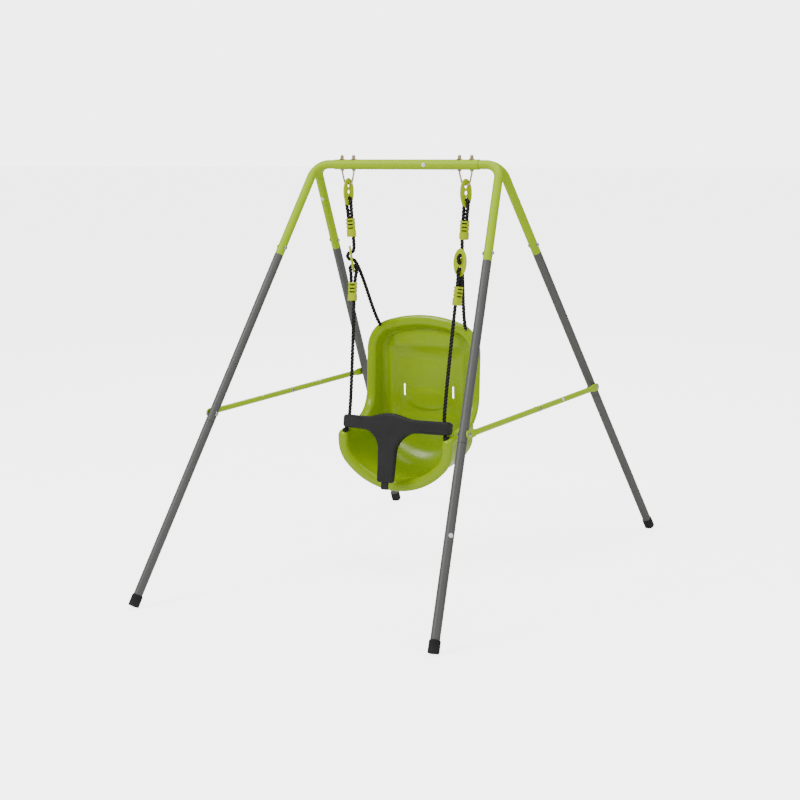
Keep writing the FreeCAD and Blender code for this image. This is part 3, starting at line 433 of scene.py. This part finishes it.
# Painted shade: a dark band about a millimetre to each side of the joint between the two tubes
# stands for the shadowed crevice there.
off_seam = grey_paint.node("Math", {"operation": "ABSOLUTE"}, {0: down - LEG_SEAM})
painted_seam_shade = grey_paint.node("MapRange", {}, {"Value": off_seam, "From Min": 0.0,
                                        "From Max": SEAM_SHADE_WIDTH, "To Min": 1.0,
                                        "To Max": 0.0})
grey_paint.feeds(
    Base_Color=grey_paint.blend(painted_seam_shade, grey_paint.shades(
        flake * 0.55 + pools * 0.45, (0.074, 0.075, 0.073), (0.096, 0.097, 0.094),
        (0.136, 0.137, 0.133)), (0.014, 0.014, 0.014, 1)),
    Roughness=0.56 - flake * 0.10, Metallic=0.10 + flake * 0.2)
grey_paint.bumps(grey_paint.grain(500, 2, 0.5), 0.00018)
wears(grey_paint, *[f"{half}_leg_{end}_{side}" for half in ("upper", "lower")
                    for end in ENDS for side in SIDES])

# ------------------------------------------------------------------ foot caps
# Black rubber cups pushed over the ends of the legs, matt and a little dusty near the ground.
black_rubber = Finish("black_rubber", Specular_IOR_Level=0.22)
height = black_rubber.node("SeparateXYZ", {}, {"Vector": black_rubber.place()}, "Z")
dust = black_rubber.node("MapRange", {}, {"Value": height, "From Min": 0.0, "From Max": 0.03,
                                          "To Min": 1.0, "To Max": 0.0})
skin = black_rubber.grain(700, 3, 0.6)
black_rubber.feeds(
    Base_Color=black_rubber.blend(dust * skin * 0.5, black_rubber.shades(
        skin, (0.007, 0.007, 0.007), (0.017, 0.017, 0.017)), (0.06, 0.058, 0.054, 1)),
    Roughness=0.62 + skin * 0.22)
black_rubber.bumps(skin, 0.0003)
wears(black_rubber, *[f"foot_cap_{end}_{side}" for end in ENDS for side in SIDES],
      *[f"rim_grommet_{side}" for side in SIDES])

# ------------------------------------------------------------------ bolts and nuts
# Domed bolts and nuts join the tubes. They are bright zinc plated, with the soft pits of
# barrel plating.
bright_zinc = Finish("bright_zinc", Metallic=1.0)
pits = bright_zinc.grain(1600, 3, 0.6)
clouds = bright_zinc.grain(220, 2, 0.5)
bright_zinc.feeds(Base_Color=bright_zinc.shades(clouds * 0.7 + pits * 0.3, (0.30, 0.31, 0.32),
                                                (0.42, 0.42, 0.43), (0.55, 0.54, 0.52)),
                  Roughness=0.22 + pits * 0.22)
bright_zinc.bumps(pits, 0.00012)
wears(bright_zinc, "leg_joint_bolts", "leg_joint_nuts", "brace_end_bolts", "brace_end_nuts",
      "brace_middle_bolts", "brace_middle_nuts")

# ------------------------------------------------------------------ hooped hanger bolts
# Each hanger is a wire hoop with two threaded shanks through the crossbar. It, its washers and
# its nuts are yellow zinc plated, which goes from straw to pink over the bends.
yellow_zinc = Finish("yellow_zinc", Metallic=1.0)
tint = yellow_zinc.grain(90, 3, 0.6)
drawn = yellow_zinc.grain(1800, 2, 0.5)
yellow_zinc.feeds(
    Base_Color=yellow_zinc.shades(tint, (0.52, 0.33, 0.25), (0.60, 0.44, 0.34),
                                  (0.66, 0.55, 0.36), (0.58, 0.40, 0.36)),
    Roughness=0.30 + drawn * 0.18)
yellow_zinc.bumps(drawn, 0.00010)
wears(yellow_zinc, *[f"hanger_bolt_{side}" for side in SIDES], "hanger_cap_nuts",
      "hanger_washers", "hanger_jam_nuts")

# ------------------------------------------------------------------ rope plates and locks
# The oval plates and the ribbed locks are injection moulded in a satin lime plastic, brighter
# and more yellow than the paint, with a faint flow mark round each hole.
lime_plastic = Finish("lime_plastic", Specular_IOR_Level=0.25)
flow = lime_plastic.grain(60, 3, 0.55)
spark = lime_plastic.grain(1900, 2, 0.6)
lime_plastic.feeds(Base_Color=lime_plastic.shades(flow * 0.8 + spark * 0.2,
                                                  (0.34, 0.45, 0.0), (0.40, 0.51, 0.0),
                                                  (0.45, 0.56, 0.002)),
                   Roughness=0.34 + spark * 0.12)
lime_plastic.bumps(flow * 0.4 + spark * 0.6, 0.00015)
wears(lime_plastic, *[f"{row}_{piece}_{side}" for row, piece in (
    ("top", "plate"), ("lower", "plate"), ("upper", "rope_lock"), ("lower", "rope_lock"))
    for side in SIDES])

# ------------------------------------------------------------------ white dots
# Plain round white labels, 12 mm across, are stuck on the tubes: one on the crossbar, two on
# the rear corners, two on the front legs and three on the braces.
LABEL_RADIUS = 0.006
LABEL_THICKNESS = 0.0002
white_label = Finish("white_label", Specular_IOR_Level=0.5)
paper_grain = white_label.grain(900, 3, 0.6)
white_label.feeds(Base_Color=white_label.shades(paper_grain, (0.70, 0.71, 0.72),
                                                (0.84, 0.85, 0.85)),
                  Roughness=0.34 + paper_grain * 0.2)
white_label.bumps(paper_grain, 0.00006)
LABEL_SIDES = 28
bar_line = Vector((0, 0, BAR_HEIGHT))
bar_radius = (bar_high.z - bar_low.z) / 2
LEG_RADIUS = 0.0125
BRACE_RADIUS = 0.008


def leg_line(side, end):
    """The top of a leg's axis and its way down; side and end are each -1 or 1."""
    top = Vector((side * LEG_TOP.x, 0, LEG_TOP.z))
    foot = Vector((side * LEG_FOOT.x, end * LEG_FOOT.y, 0))
    return top, (foot - top).normalized()


def round_label(name, origin, way, radius, distance, facing):
    """A round label that wraps a tube, at a distance along its axis, facing a given way."""
    centre = origin + way * distance
    facing = (Vector(facing) - way * Vector(facing).dot(way)).normalized()
    beside = way.cross(facing)
    mesh = bmesh.new()
    rings = []
    for share, lift in ((1.0, 0.0), (1.0, 0.8), (0.94, 1.0), (0.6, 1.0), (0.25, 1.0)):
        reach = LABEL_RADIUS * share
        ring = []
        for number in range(LABEL_SIDES):
            angle = math.tau * number / LABEL_SIDES
            swing = reach * math.sin(angle) / radius
            out = radius + LABEL_THICKNESS * lift
            ring.append(mesh.verts.new(centre + way * reach * math.cos(angle)
                                       + (facing * math.cos(swing) + beside * math.sin(swing))
                                       * out))
        rings.append(ring)
    for ring, onward in zip(rings, rings[1:]):
        for number in range(LABEL_SIDES):
            beyond = (number + 1) % LABEL_SIDES
            mesh.faces.new((ring[number], ring[beyond], onward[beyond], onward[number]))
    mesh.faces.new(rings[-1])
    for face in mesh.faces:
        face.smooth = True
    data = bpy.data.meshes.new(name)
    mesh.to_mesh(data)
    mesh.free()
    data.materials.append(white_label.material)
    label = bpy.data.objects.new(name, data)
    bpy.context.scene.collection.objects.link(label)
    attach(label, "frame")


round_label("label_crossbar", bar_line, Vector((1, 0, 0)), bar_radius, 0.0626, (0, -1, -0.06))
for name, side, end, distance, facing in (
        ("label_leg_front_left", -1, -1, 0.656, (-0.72, -0.55, 0.43)),
        ("label_leg_front_right", 1, -1, 1.065, (0.689, -0.567, 0.452)),
        ("label_corner_rear_right", 1, 1, 0.099, (-0.75, -0.53, -0.38)),
        ("label_corner_rear_left", -1, 1, 0.114, (-0.108, -0.85, -0.516))):
    top, way = leg_line(side, end)
    round_label(name, top, way, LEG_RADIUS, distance, facing)
bolt_low, bolt_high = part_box("brace_middle_bolts")
BOLT_PROUD = 0.0045
for name, side, distance, facing in (
        ("label_brace_left_front", -1, -0.154, (0.10, 0, 0.99)),
        ("label_brace_left_rear", -1, 0.158, (0.161, 0, 0.987)),
        ("label_brace_right_rear", 1, 0.157, (0.88, 0, 0.475))):
    axis_x = side * (bolt_high.x - BOLT_PROUD - BRACE_RADIUS)
    axis_z = (bolt_low.z + bolt_high.z) / 2
    round_label(name, Vector((axis_x, 0, axis_z)), Vector((0, 1, 0)), BRACE_RADIUS, distance,
                facing)

# ------------------------------------------------------------------ seat
# The bucket seat is one moulding of glossy lime polyethylene with a 5 mm wall: a deep bowl, a
# padded shape behind the head, a dished back and a broad rolled rim that sweeps forward into
# two arm rests. Harness slots go through the back and a drain through the floor.
SEAT_WALL = 0.005
PANEL_Y = 0.112
LOW_CORNER = (0.092, 0.132)
HIGH_CORNER = (0.090, 0.105)
seat_low, seat_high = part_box("seat_shell")
SEAT_HALF = seat_high.x
ARC_STEPS = 160


def rounded(corners, radii):
    """A side line through the given corners with the middle ones rounded, as close points."""
    line = [Vector(corners[0])]
    for before, corner, after, radius in zip(corners, corners[1:], corners[2:], radii):
        before, corner, after = Vector(before), Vector(corner), Vector(after)
        inward, outward = (before - corner).normalized(), (after - corner).normalized()
        half = inward.angle(outward) / 2
        centre = corner + (inward + outward).normalized() * (radius / math.sin(half))
        start = corner + inward * (radius / math.tan(half)) - centre
        end = corner + outward * (radius / math.tan(half)) - centre
        for number in range(ARC_STEPS + 1):
            turned = start.lerp(end, number / ARC_STEPS).normalized() * radius
            line.append(centre + turned)
    return line + [Vector(corners[-1])]


# Seen from the side, the rim runs up the front lip, over the arm rests and up the back.
rim_line = rounded(((-0.092, 0.20), (-0.098, 0.396), (0.066, 0.432), (0.088, 0.76)),
                   (0.016, 0.085))


def rim_at(height):
    """How far back the rim is at a height, and which way is straight into it."""
    number = 0
    while number < len(rim_line) - 2 and rim_line[number + 1].y < height:
        number += 1
    start, end = rim_line[number], rim_line[number + 1]
    share = (height - start.y) / (end.y - start.y)
    run = (end - start).normalized()
    return start.x + (end.x - start.x) * share, Vector((run.y, -run.x))


def outline_points():
    """Half the outline seen from the front, as close points with their outward normals."""
    points = []

    def arc(centre, radius, start, end):
        for number in range(ARC_STEPS):
            angle = start + (end - start) * number / ARC_STEPS
            way = Vector((math.cos(angle), math.sin(angle)))
            points.append((centre + way * radius, way))

    for small, rise, end_z, turn in ((*LOW_CORNER, seat_low.z, -1),
                                     (*HIGH_CORNER, seat_high.z, 1)):
        reach = SEAT_HALF - small
        big = (reach ** 2 + rise ** 2 - small ** 2) / (2 * (rise - small))
        big_centre = Vector((0, end_z - turn * big))
        small_centre = Vector((reach, end_z - turn * rise))
        meet = math.atan2(small_centre.y - big_centre.y, reach)
        if turn < 0:
            arc(big_centre, big, -math.pi / 2, meet)
            arc(small_centre, small, meet, 0)
            side_start = Vector((SEAT_HALF, small_centre.y))
        else:
            for number in range(ARC_STEPS * 6):
                share = number / (ARC_STEPS * 6)
                points.append((side_start.lerp(Vector((SEAT_HALF, small_centre.y)), share),
                               Vector((1, 0))))
            arc(small_centre, small, 0, meet)
            arc(big_centre, big, meet, math.pi / 2)
    points.append((Vector((0, seat_high.z)), Vector((0, 1))))
    return points


def swell(value, edge):
    """1 well inside, 0 well outside, smooth across the edge; value is 0 at the edge."""
    share = min(max(0.5 - value / (2 * edge), 0), 1)
    return share * share * (3 - 2 * share)


# The forms of the back: each one's middle height, half its height and half its width.
PILLOW_Z, PILLOW_TALL, PILLOW_WIDE = 0.650, 0.031, 0.112
DISH_Z, DISH_TALL, DISH_WIDE = 0.510, 0.088, 0.104
RIDGE_Z, RIDGE_TALL, RIDGE_X, RIDGE_WIDE = 0.505, 0.100, 0.119, 0.007
LUMBAR_Z, LUMBAR_TALL, LUMBAR_WIDE = 0.468, 0.030, 0.068
SPINE_Z, SPINE_TALL, SPINE_WIDE = 0.555, 0.030, 0.030
PILLOW_STAND, DISH_DEPTH, RIDGE_STAND, LUMBAR_STAND, SPINE_STAND = (
    0.0105, 0.0035, 0.0035, 0.0032, 0.0012)


def relief(x, z):
    """How far the back stands forward of flat, in metres."""
    pillow = swell(abs(z - PILLOW_Z) - PILLOW_TALL, 0.016) * swell(abs(x) - PILLOW_WIDE, 0.022)
    dish = swell(abs(z - DISH_Z) - DISH_TALL, 0.012) * swell(abs(x) - DISH_WIDE, 0.012)
    ridge = (math.exp(-((abs(x) - RIDGE_X) / RIDGE_WIDE) ** 2)
             * swell(abs(z - RIDGE_Z) - RIDGE_TALL, 0.025))
    lumbar = swell(math.hypot(x / LUMBAR_WIDE, (z - LUMBAR_Z) / LUMBAR_TALL) - 1, 0.16)
    spine = math.exp(-(x / SPINE_WIDE) ** 2) * swell(abs(z - SPINE_Z) - SPINE_TALL, 0.02)
    return (PILLOW_STAND * pillow - DISH_DEPTH * dish + RIDGE_STAND * ridge
            + LUMBAR_STAND * lumbar + SPINE_STAND * spine)


SIDE_CELLS = 94
END_CELLS = 50
half_line = outline_points()
laid = [0.0]
for (last, _), (point, _) in zip(half_line, half_line[1:]):
    last_y, point_y = rim_at(last.y)[0], rim_at(point.y)[0]
    laid.append(laid[-1] + math.hypot((point - last).length, point_y - last_y))
half_count = SIDE_CELLS + END_CELLS
ring_line = []
span = 0
for number in range(half_count + 1):
    distance = laid[-1] * number / half_count
    while span < len(half_line) - 2 and laid[span + 1] < distance:
        span += 1
    share = (distance - laid[span]) / (laid[span + 1] - laid[span])
    place = half_line[span][0].lerp(half_line[span + 1][0], share)
    way = half_line[span][1].lerp(half_line[span + 1][1], share).normalized()
    ring_line.append((place, way))
ring_line += [(Vector((-place.x, place.y)), Vector((-way.x, way.y)))
              for place, way in reversed(ring_line[1:-1])]

# Across the rim, from the end of its turned-back skirt to the wall of the bowl: how far in
# from the outline, and how far behind the rim's face.
RIM_SECTION = ((0.0046, 0.0150), (0.0016, 0.0146), (0.0002, 0.0120), (0.0, 0.0080),
               (0.0006, 0.0042), (0.0026, 0.0012), (0.0062, -0.0008), (0.0110, -0.0018),
               (0.0165, -0.0021), (0.0215, -0.0016), (0.0258, -0.0002), (0.0288, 0.0022),
               (0.0306, 0.0056), (0.0314, 0.0100))
WALL_DRAFT = 0.004
FLOOR_BULGE = 0.006
WALL_RINGS = 16
FILLET_RINGS = 9
TOP_FILLET, FLOOR_FILLET, FILLET_FADE = 0.0145, 0.078, 0.088


def bowl_fillet(height):
    """Radius between the wall and the back, largest under the seated child."""
    return TOP_FILLET + FLOOR_FILLET * math.exp(-((height - seat_low.z) / FILLET_FADE) ** 2)


rings = []
for inset, depth in RIM_SECTION:
    ring = []
    for place, way in ring_line:
        inner = place - way * inset
        rim_y, into = rim_at(inner.y)
        ring.append(Vector((inner.x, rim_y + into.x * depth, inner.y + into.y * depth)))
    rings.append(ring)
edge_ring = rings[-1]
for number in range(1, WALL_RINGS + 1):
    share = number / WALL_RINGS
    ring = []
    for start, (place, way) in zip(edge_ring, ring_line):
        end_y = max(PANEL_Y - bowl_fillet(place.y), start.y + 0.002)
        dish = max(-way.y, 0)
        lean = -FLOOR_BULGE * dish * math.sin(math.pi * share / 2) + WALL_DRAFT * share * (1 - dish)
        ring.append(Vector((start.x - way.x * lean, start.y + (end_y - start.y) * share,
                            start.z - way.y * lean)))
    rings.append(ring)
wall_ring = rings[-1]
for number in range(1, FILLET_RINGS + 1):
    angle = math.pi / 2 * number / FILLET_RINGS
    ring = []
    for start, (place, way) in zip(wall_ring, ring_line):
        radius = PANEL_Y - start.y
        inward = bowl_fillet(place.y) * (1 - math.cos(angle))
        x, z = start.x - way.x * inward, start.z - way.y * inward
        y = start.y + radius * math.sin(angle)
        ring.append(Vector((x, y - relief(x, z) * math.sin(angle) ** 2, z)))
    rings.append(ring)

seat_mesh = bmesh.new()
grid = [[seat_mesh.verts.new(point) for point in ring] for ring in rings]
around = len(ring_line)
for ring, onward in zip(grid, grid[1:]):
    for number in range(around):
        beyond = (number + 1) % around
        seat_mesh.faces.new((ring[number], ring[beyond], onward[beyond], onward[number]))

# The back is a patch of cells hung between the four sides of the last ring.
last_ring = rings[-1]
offset = END_CELLS // 2
foot_row = [(number - offset) % around for number in range(END_CELLS + 1)]
right_row = [(offset + number) % around for number in range(SIDE_CELLS + 1)]
head_row = [(offset + SIDE_CELLS + END_CELLS - number) % around
            for number in range(END_CELLS + 1)]
left_row = [(-offset - number) % around for number in range(SIDE_CELLS + 1)]
flat = numpy.zeros((END_CELLS + 1, SIDE_CELLS + 1, 2))
for i in range(END_CELLS + 1):
    for j in range(SIDE_CELLS + 1):
        t = j / SIDE_CELLS
        flat[i, j] = (last_ring[foot_row[i]] * (1 - t) + last_ring[head_row[i]] * t).xz
        if j == 0:
            flat[i, j] = last_ring[foot_row[i]].xz
        elif j == SIDE_CELLS:
            flat[i, j] = last_ring[head_row[i]].xz
        elif i == 0:
            flat[i, j] = last_ring[left_row[j]].xz
        elif i == END_CELLS:
            flat[i, j] = last_ring[right_row[j]].xz
RELAX_STEPS = 1500
for _ in range(RELAX_STEPS):
    flat[1:-1, 1:-1] = (flat[:-2, 1:-1] + flat[2:, 1:-1] + flat[1:-1, :-2]
                        + flat[1:-1, 2:]) / 4
cells = [[None] * (SIDE_CELLS + 1) for _ in range(END_CELLS + 1)]
for i in range(END_CELLS + 1):
    for j in range(SIDE_CELLS + 1):
        if j == 0:
            cells[i][j] = grid[-1][foot_row[i]]
        elif j == SIDE_CELLS:
            cells[i][j] = grid[-1][head_row[i]]
        elif i == 0:
            cells[i][j] = grid[-1][left_row[j]]
        elif i == END_CELLS:
            cells[i][j] = grid[-1][right_row[j]]
        else:
            x, z = flat[i, j]
            cells[i][j] = seat_mesh.verts.new((x, PANEL_Y - relief(x, z), z))
for i in range(END_CELLS):
    for j in range(SIDE_CELLS):
        seat_mesh.faces.new((cells[i][j], cells[i + 1][j], cells[i + 1][j + 1],
                             cells[i][j + 1]))
bmesh.ops.recalc_face_normals(seat_mesh, faces=seat_mesh.faces)
sample = cells[END_CELLS // 2][SIDE_CELLS // 2]
sample.normal_update()
if sample.normal.y > 0:
    bmesh.ops.reverse_faces(seat_mesh, faces=seat_mesh.faces)
for face in seat_mesh.faces:
    face.smooth = True


def solid_object(name, mesh, finish):
    """Turns mesh work into an object with its finish on."""
    data = bpy.data.meshes.new(name)
    mesh.to_mesh(data)
    mesh.free()
    if finish:
        data.materials.append(finish.material)
    made = bpy.data.objects.new(name, data)
    bpy.context.scene.collection.objects.link(made)
    return made


def settle(piece):
    """Makes a piece's modifiers part of its mesh."""
    bpy.context.view_layer.update()
    graph = bpy.context.evaluated_depsgraph_get()
    final = bpy.data.meshes.new_from_object(piece.evaluated_get(graph))
    piece.modifiers.clear()
    piece.data = final
    return piece


CUTTER_SIDES = 32


def prism(mesh, centre, along, beside, through, half_length, radius, depth):
    """Adds a cutter with two half-round ends; along and beside span its section."""
    loops = []
    for stand in (-depth, depth):
        loop = []
        for number in range(CUTTER_SIDES):
            angle = math.tau * number / CUTTER_SIDES
            lift = half_length if math.sin(angle) >= 0 else -half_length
            loop.append(mesh.verts.new(centre + beside * (radius * math.cos(angle))
                                       + along * (radius * math.sin(angle) + lift)
                                       + through * stand))
        loops.append(loop)
    for number in range(CUTTER_SIDES):
        beyond = (number + 1) % CUTTER_SIDES
        mesh.faces.new((loops[0][number], loops[0][beyond], loops[1][beyond],
                        loops[1][number]))
    mesh.faces.new(list(reversed(loops[0])))
    mesh.faces.new(loops[1])


def cut_away(piece, cutters):
    """Takes the cutters' shape out of a piece."""
    bmesh.ops.recalc_face_normals(cutters, faces=cutters.faces)
    tool = solid_object("cutters", cutters, None)
    cut = piece.modifiers.new("cut", "BOOLEAN")
    cut.operation = "DIFFERENCE"
    cut.solver = "EXACT"
    cut.object = tool
    settle(piece)
    bpy.data.objects.remove(tool)


seat_plastic = Finish("seat_plastic", Specular_IOR_Level=0.24, Coat_Weight=0.06,
                      Coat_Roughness=0.08)
milky = seat_plastic.grain(7, 3, 0.5)
mist = seat_plastic.grain(45, 4, 0.6)
scuff = seat_plastic.grain(1400, 2, 0.6)
seat_plastic.feeds(
    Base_Color=seat_plastic.shades(milky * 0.7 + mist * 0.3, (0.215, 0.350, 0.0),
                                   (0.250, 0.390, 0.0), (0.295, 0.435, 0.0)),
    Roughness=0.15 + mist * 0.10 + scuff * 0.06)
seat_plastic.bumps(mist * 0.75 + scuff * 0.25, 0.0005, 0.6)
seat = solid_object("bucket_seat", seat_mesh, seat_plastic)
wall = seat.modifiers.new("wall", "SOLIDIFY")
wall.thickness = SEAT_WALL
wall.offset = -1
wall.use_even_offset = False
settle(seat)
X, Y, Z = Vector((1, 0, 0)), Vector((0, 1, 0)), Vector((0, 0, 1))
slots = bmesh.new()
ROPE_ENTRY = Vector((0, 0.0615, -0.0754)).normalized()
HARNESS_SLOT, HARNESS_HALF, HARNESS_RADIUS = (0.080, 0.115, 0.494), 0.0145, 0.0035
ROPE_HOLE, ROPE_HOLE_RADIUS, ROPE_HOLE_DEEP = (0.1403, 0.082, 0.6884), 0.0048, 0.012
GROMMET_HOLE, GROMMET_HALF, GROMMET_RADIUS = (0.1638, -0.0852, 0.391), 0.0012, 0.0066
GROMMET_DEEP = 0.011
DRAIN, DRAIN_HALF, DRAIN_RADIUS = (0, -0.018, 0.262), 0.015, 0.0075
SLOT_DEEP = 0.030


def on_side(side, place):
    """The same place on the left, for a side of -1, or on the right, for 1."""
    return Vector((side * place[0], place[1], place[2]))


for side in SIDES.values():
    prism(slots, on_side(side, HARNESS_SLOT), Z, X, Y, HARNESS_HALF, HARNESS_RADIUS, SLOT_DEEP)
    prism(slots, on_side(side, ROPE_HOLE), X, X.cross(ROPE_ENTRY), ROPE_ENTRY, 0,
          ROPE_HOLE_RADIUS, ROPE_HOLE_DEEP)
    prism(slots, on_side(side, GROMMET_HOLE), X, Y, Z, GROMMET_HALF, GROMMET_RADIUS,
          GROMMET_DEEP)
prism(slots, Vector(DRAIN), X, Y, Z, DRAIN_HALF, DRAIN_RADIUS, SLOT_DEEP)
cut_away(seat, slots)
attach(seat, "swing")
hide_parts("seat_shell")

# ------------------------------------------------------------------ guard bar
# The T-shaped guard bar is moulded in charcoal plastic, bowed to the front, with a thinner
# stem. The front ropes run through a slot at each end, so it slides up them, and a tab at
# its foot hangs over the front lip of the seat.
bar_up = Vector((0, 0.1645, 1)).normalized()
bar_back = bar_up.cross(X)
bar_middle = Vector((0, -0.081, 0.427))
HALF_LONG, HALF_TALL, HALF_DEEP = 0.172, 0.0185, 0.014
GUSSET, STEM_TOP, STEM_FOOT, STEM_END = 0.058, 0.028, 0.025, -0.163
STEM_KNEE, STEM_DEEP = -0.090, 0.018
SWELL_HALF, SWELL_RISE = 0.080, 0.014
SLOT_X, SLOT_HALF, SLOT_RADIUS = 0.154, 0.0046, 0.0063
BOW = 0.034
BOW_RADIUS = (SLOT_X ** 2 + BOW ** 2) / (2 * BOW)
END_ROUND = 0.010
FOOT_ROUND = 0.007
EDGE_ROUND = 0.0065


def bowed(x, stand, z):
    """A point of the guard bar: stand is 1 at its back and -1 at its front."""
    bend = BOW_RADIUS - BOW - math.sqrt(BOW_RADIUS ** 2 - x ** 2)
    thin = min(max((z + HALF_TALL) / (STEM_KNEE + HALF_TALL), 0), 1)
    thin = thin * thin * (3 - 2 * thin)
    deep = 2 * HALF_DEEP - (2 * HALF_DEEP - STEM_DEEP) * thin
    y = bend - HALF_DEEP + deep * (stand + 1) / 2
    return bar_middle + X * x + bar_back * y + bar_up * z


def guard_outline():
    """Half the guard bar seen from the front, from its crown round to its foot."""
    line = [Vector((SWELL_HALF * step / 18, HALF_TALL + SWELL_RISE * 0.5
                    * (1 + math.cos(math.pi * step / 18)))) for step in range(1, 19)]
    for corner, start in ((Vector((HALF_LONG - END_ROUND, HALF_TALL - END_ROUND)), 90),
                          (Vector((HALF_LONG - END_ROUND, END_ROUND - HALF_TALL)), 0)):
        for step in range(9):
            angle = math.radians(start - 90 * step / 8)
            line.append(corner + END_ROUND * Vector((math.cos(angle), math.sin(angle))))
    hollow = Vector((STEM_TOP + GUSSET, -HALF_TALL - GUSSET))
    for step in range(21):
        angle = math.radians(90 + 90 * step / 20)
        line.append(hollow + GUSSET * Vector((math.cos(angle), math.sin(angle))))
    for step in range(9):
        angle = math.radians(-90 * step / 8)
        line.append(Vector((STEM_FOOT - FOOT_ROUND, STEM_END + FOOT_ROUND))
                    + FOOT_ROUND * Vector((math.cos(angle), math.sin(angle))))
    return line


half = guard_outline()
loop = ([Vector((0, HALF_TALL + SWELL_RISE))] + half + [Vector((0, STEM_END))]
        + [Vector((-point.x, point.y)) for point in reversed(half)])
inward = []
for number, point in enumerate(loop):
    run = loop[(number + 1) % len(loop)] - loop[number - 1]
    inward.append(Vector((run.y, -run.x)).normalized())
guard_mesh = bmesh.new()
sections = []
for step in range(9):
    angle = math.pi / 2 * step / 8
    sections.append((EDGE_ROUND * (1 - math.sin(angle)),
                     -1 + EDGE_ROUND / HALF_DEEP * (1 - math.cos(angle))))
sections += [(inset, -stand) for inset, stand in reversed(sections)]
rows = []
for inset, stand in sections:
    rows.append([guard_mesh.verts.new(bowed(*(point.x + way.x * inset, stand,
                                              point.y + way.y * inset)))
                 for point, way in zip(loop, inward)])
for row, onward in zip(rows, rows[1:]):
    for number in range(len(loop)):
        beyond = (number + 1) % len(loop)
        guard_mesh.faces.new((row[number], row[beyond], onward[beyond], onward[number]))

# The front and back are bands of cells between the two halves of their outline.
HALF_POINTS = len(half)
CROSS_CELLS = 12
for row, stand in ((rows[0], -1), (rows[-1], 1)):
    inset = sections[0][0]
    lines = [[row[0]] * (CROSS_CELLS + 1)]
    for number in range(1, HALF_POINTS + 1):
        right, left = row[number], row[-number]
        flat = loop[number] + inward[number] * inset
        line = [left]
        for cell in range(1, CROSS_CELLS):
            share = cell / CROSS_CELLS * 2 - 1
            line.append(guard_mesh.verts.new(bowed(flat.x * share, stand, flat.y)))
        lines.append(line + [right])
    lines.append([row[HALF_POINTS + 1]] * (CROSS_CELLS + 1))
    for line, onward in zip(lines, lines[1:]):
        for cell in range(CROSS_CELLS):
            corners = []
            for corner in (line[cell], line[cell + 1], onward[cell + 1], onward[cell]):
                if corner not in corners:
                    corners.append(corner)
            if len(corners) > 2:
                guard_mesh.faces.new(corners)
bmesh.ops.recalc_face_normals(guard_mesh, faces=guard_mesh.faces)
for face in guard_mesh.faces:
    face.smooth = True

charcoal_plastic = Finish("charcoal_plastic", Specular_IOR_Level=0.22)
etched = charcoal_plastic.grain(2200, 3, 0.65)
drift = charcoal_plastic.grain(26, 3, 0.5)
charcoal_plastic.feeds(
    Base_Color=charcoal_plastic.shades(drift * 0.6 + etched * 0.4, (0.015, 0.015, 0.0155),
                                       (0.021, 0.021, 0.0215), (0.029, 0.029, 0.0295)),
    Roughness=0.46 + etched * 0.2)
charcoal_plastic.bumps(etched, 0.00035)
guard = solid_object("guard_bar_moulding", guard_mesh, charcoal_plastic)


def beam(mesh, low, high):
    """Adds a block between two corners in the guard bar's own directions."""
    ends = [mesh.verts.new(bar_middle + X * x + bar_back * y + bar_up * z)
            for x in (low[0], high[0]) for y in (low[1], high[1]) for z in (low[2], high[2])]
    for face in ((0, 1, 3, 2), (4, 6, 7, 5), (0, 4, 5, 1), (2, 3, 7, 6), (0, 2, 6, 4),
                 (1, 5, 7, 3)):
        mesh.faces.new([ends[index] for index in face])


grooves = bmesh.new()
for side in SIDES.values():
    prism(grooves, bar_middle + X * (side * SLOT_X), X, bar_back, bar_up, SLOT_HALF,
          SLOT_RADIUS, 0.03)
cut_away(guard, grooves)
tab = bmesh.new()
TAB_SET_BACK, TAB_HALF_WIDE, TAB_DEEP, TAB_DROP, TAB_LAP = 0.004, 0.011, 0.006, 0.020, 0.004
TAB_EDGE = 0.0014
TAB_FRONT = TAB_SET_BACK - BOW - HALF_DEEP
beam(tab, (-TAB_HALF_WIDE, TAB_FRONT, STEM_END - TAB_DROP),
     (TAB_HALF_WIDE, TAB_FRONT + TAB_DEEP, STEM_END + TAB_LAP))
bmesh.ops.recalc_face_normals(tab, faces=tab.faces)
bmesh.ops.bevel(tab, geom=tab.edges[:], offset=TAB_EDGE, segments=3, profile=0.5,
                affect="EDGES")
for face in tab.faces:
    face.smooth = True
hook = solid_object("guard_bar_tab", tab, charcoal_plastic)
for piece in (seat, guard, hook):
    crisp = piece.modifiers.new("crisp", "WEIGHTED_NORMAL")
    crisp.keep_sharp = True
    crisp.weight = 80
for piece in (guard, hook):
    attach(piece, "guard_bar")
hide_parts("guard_bar")
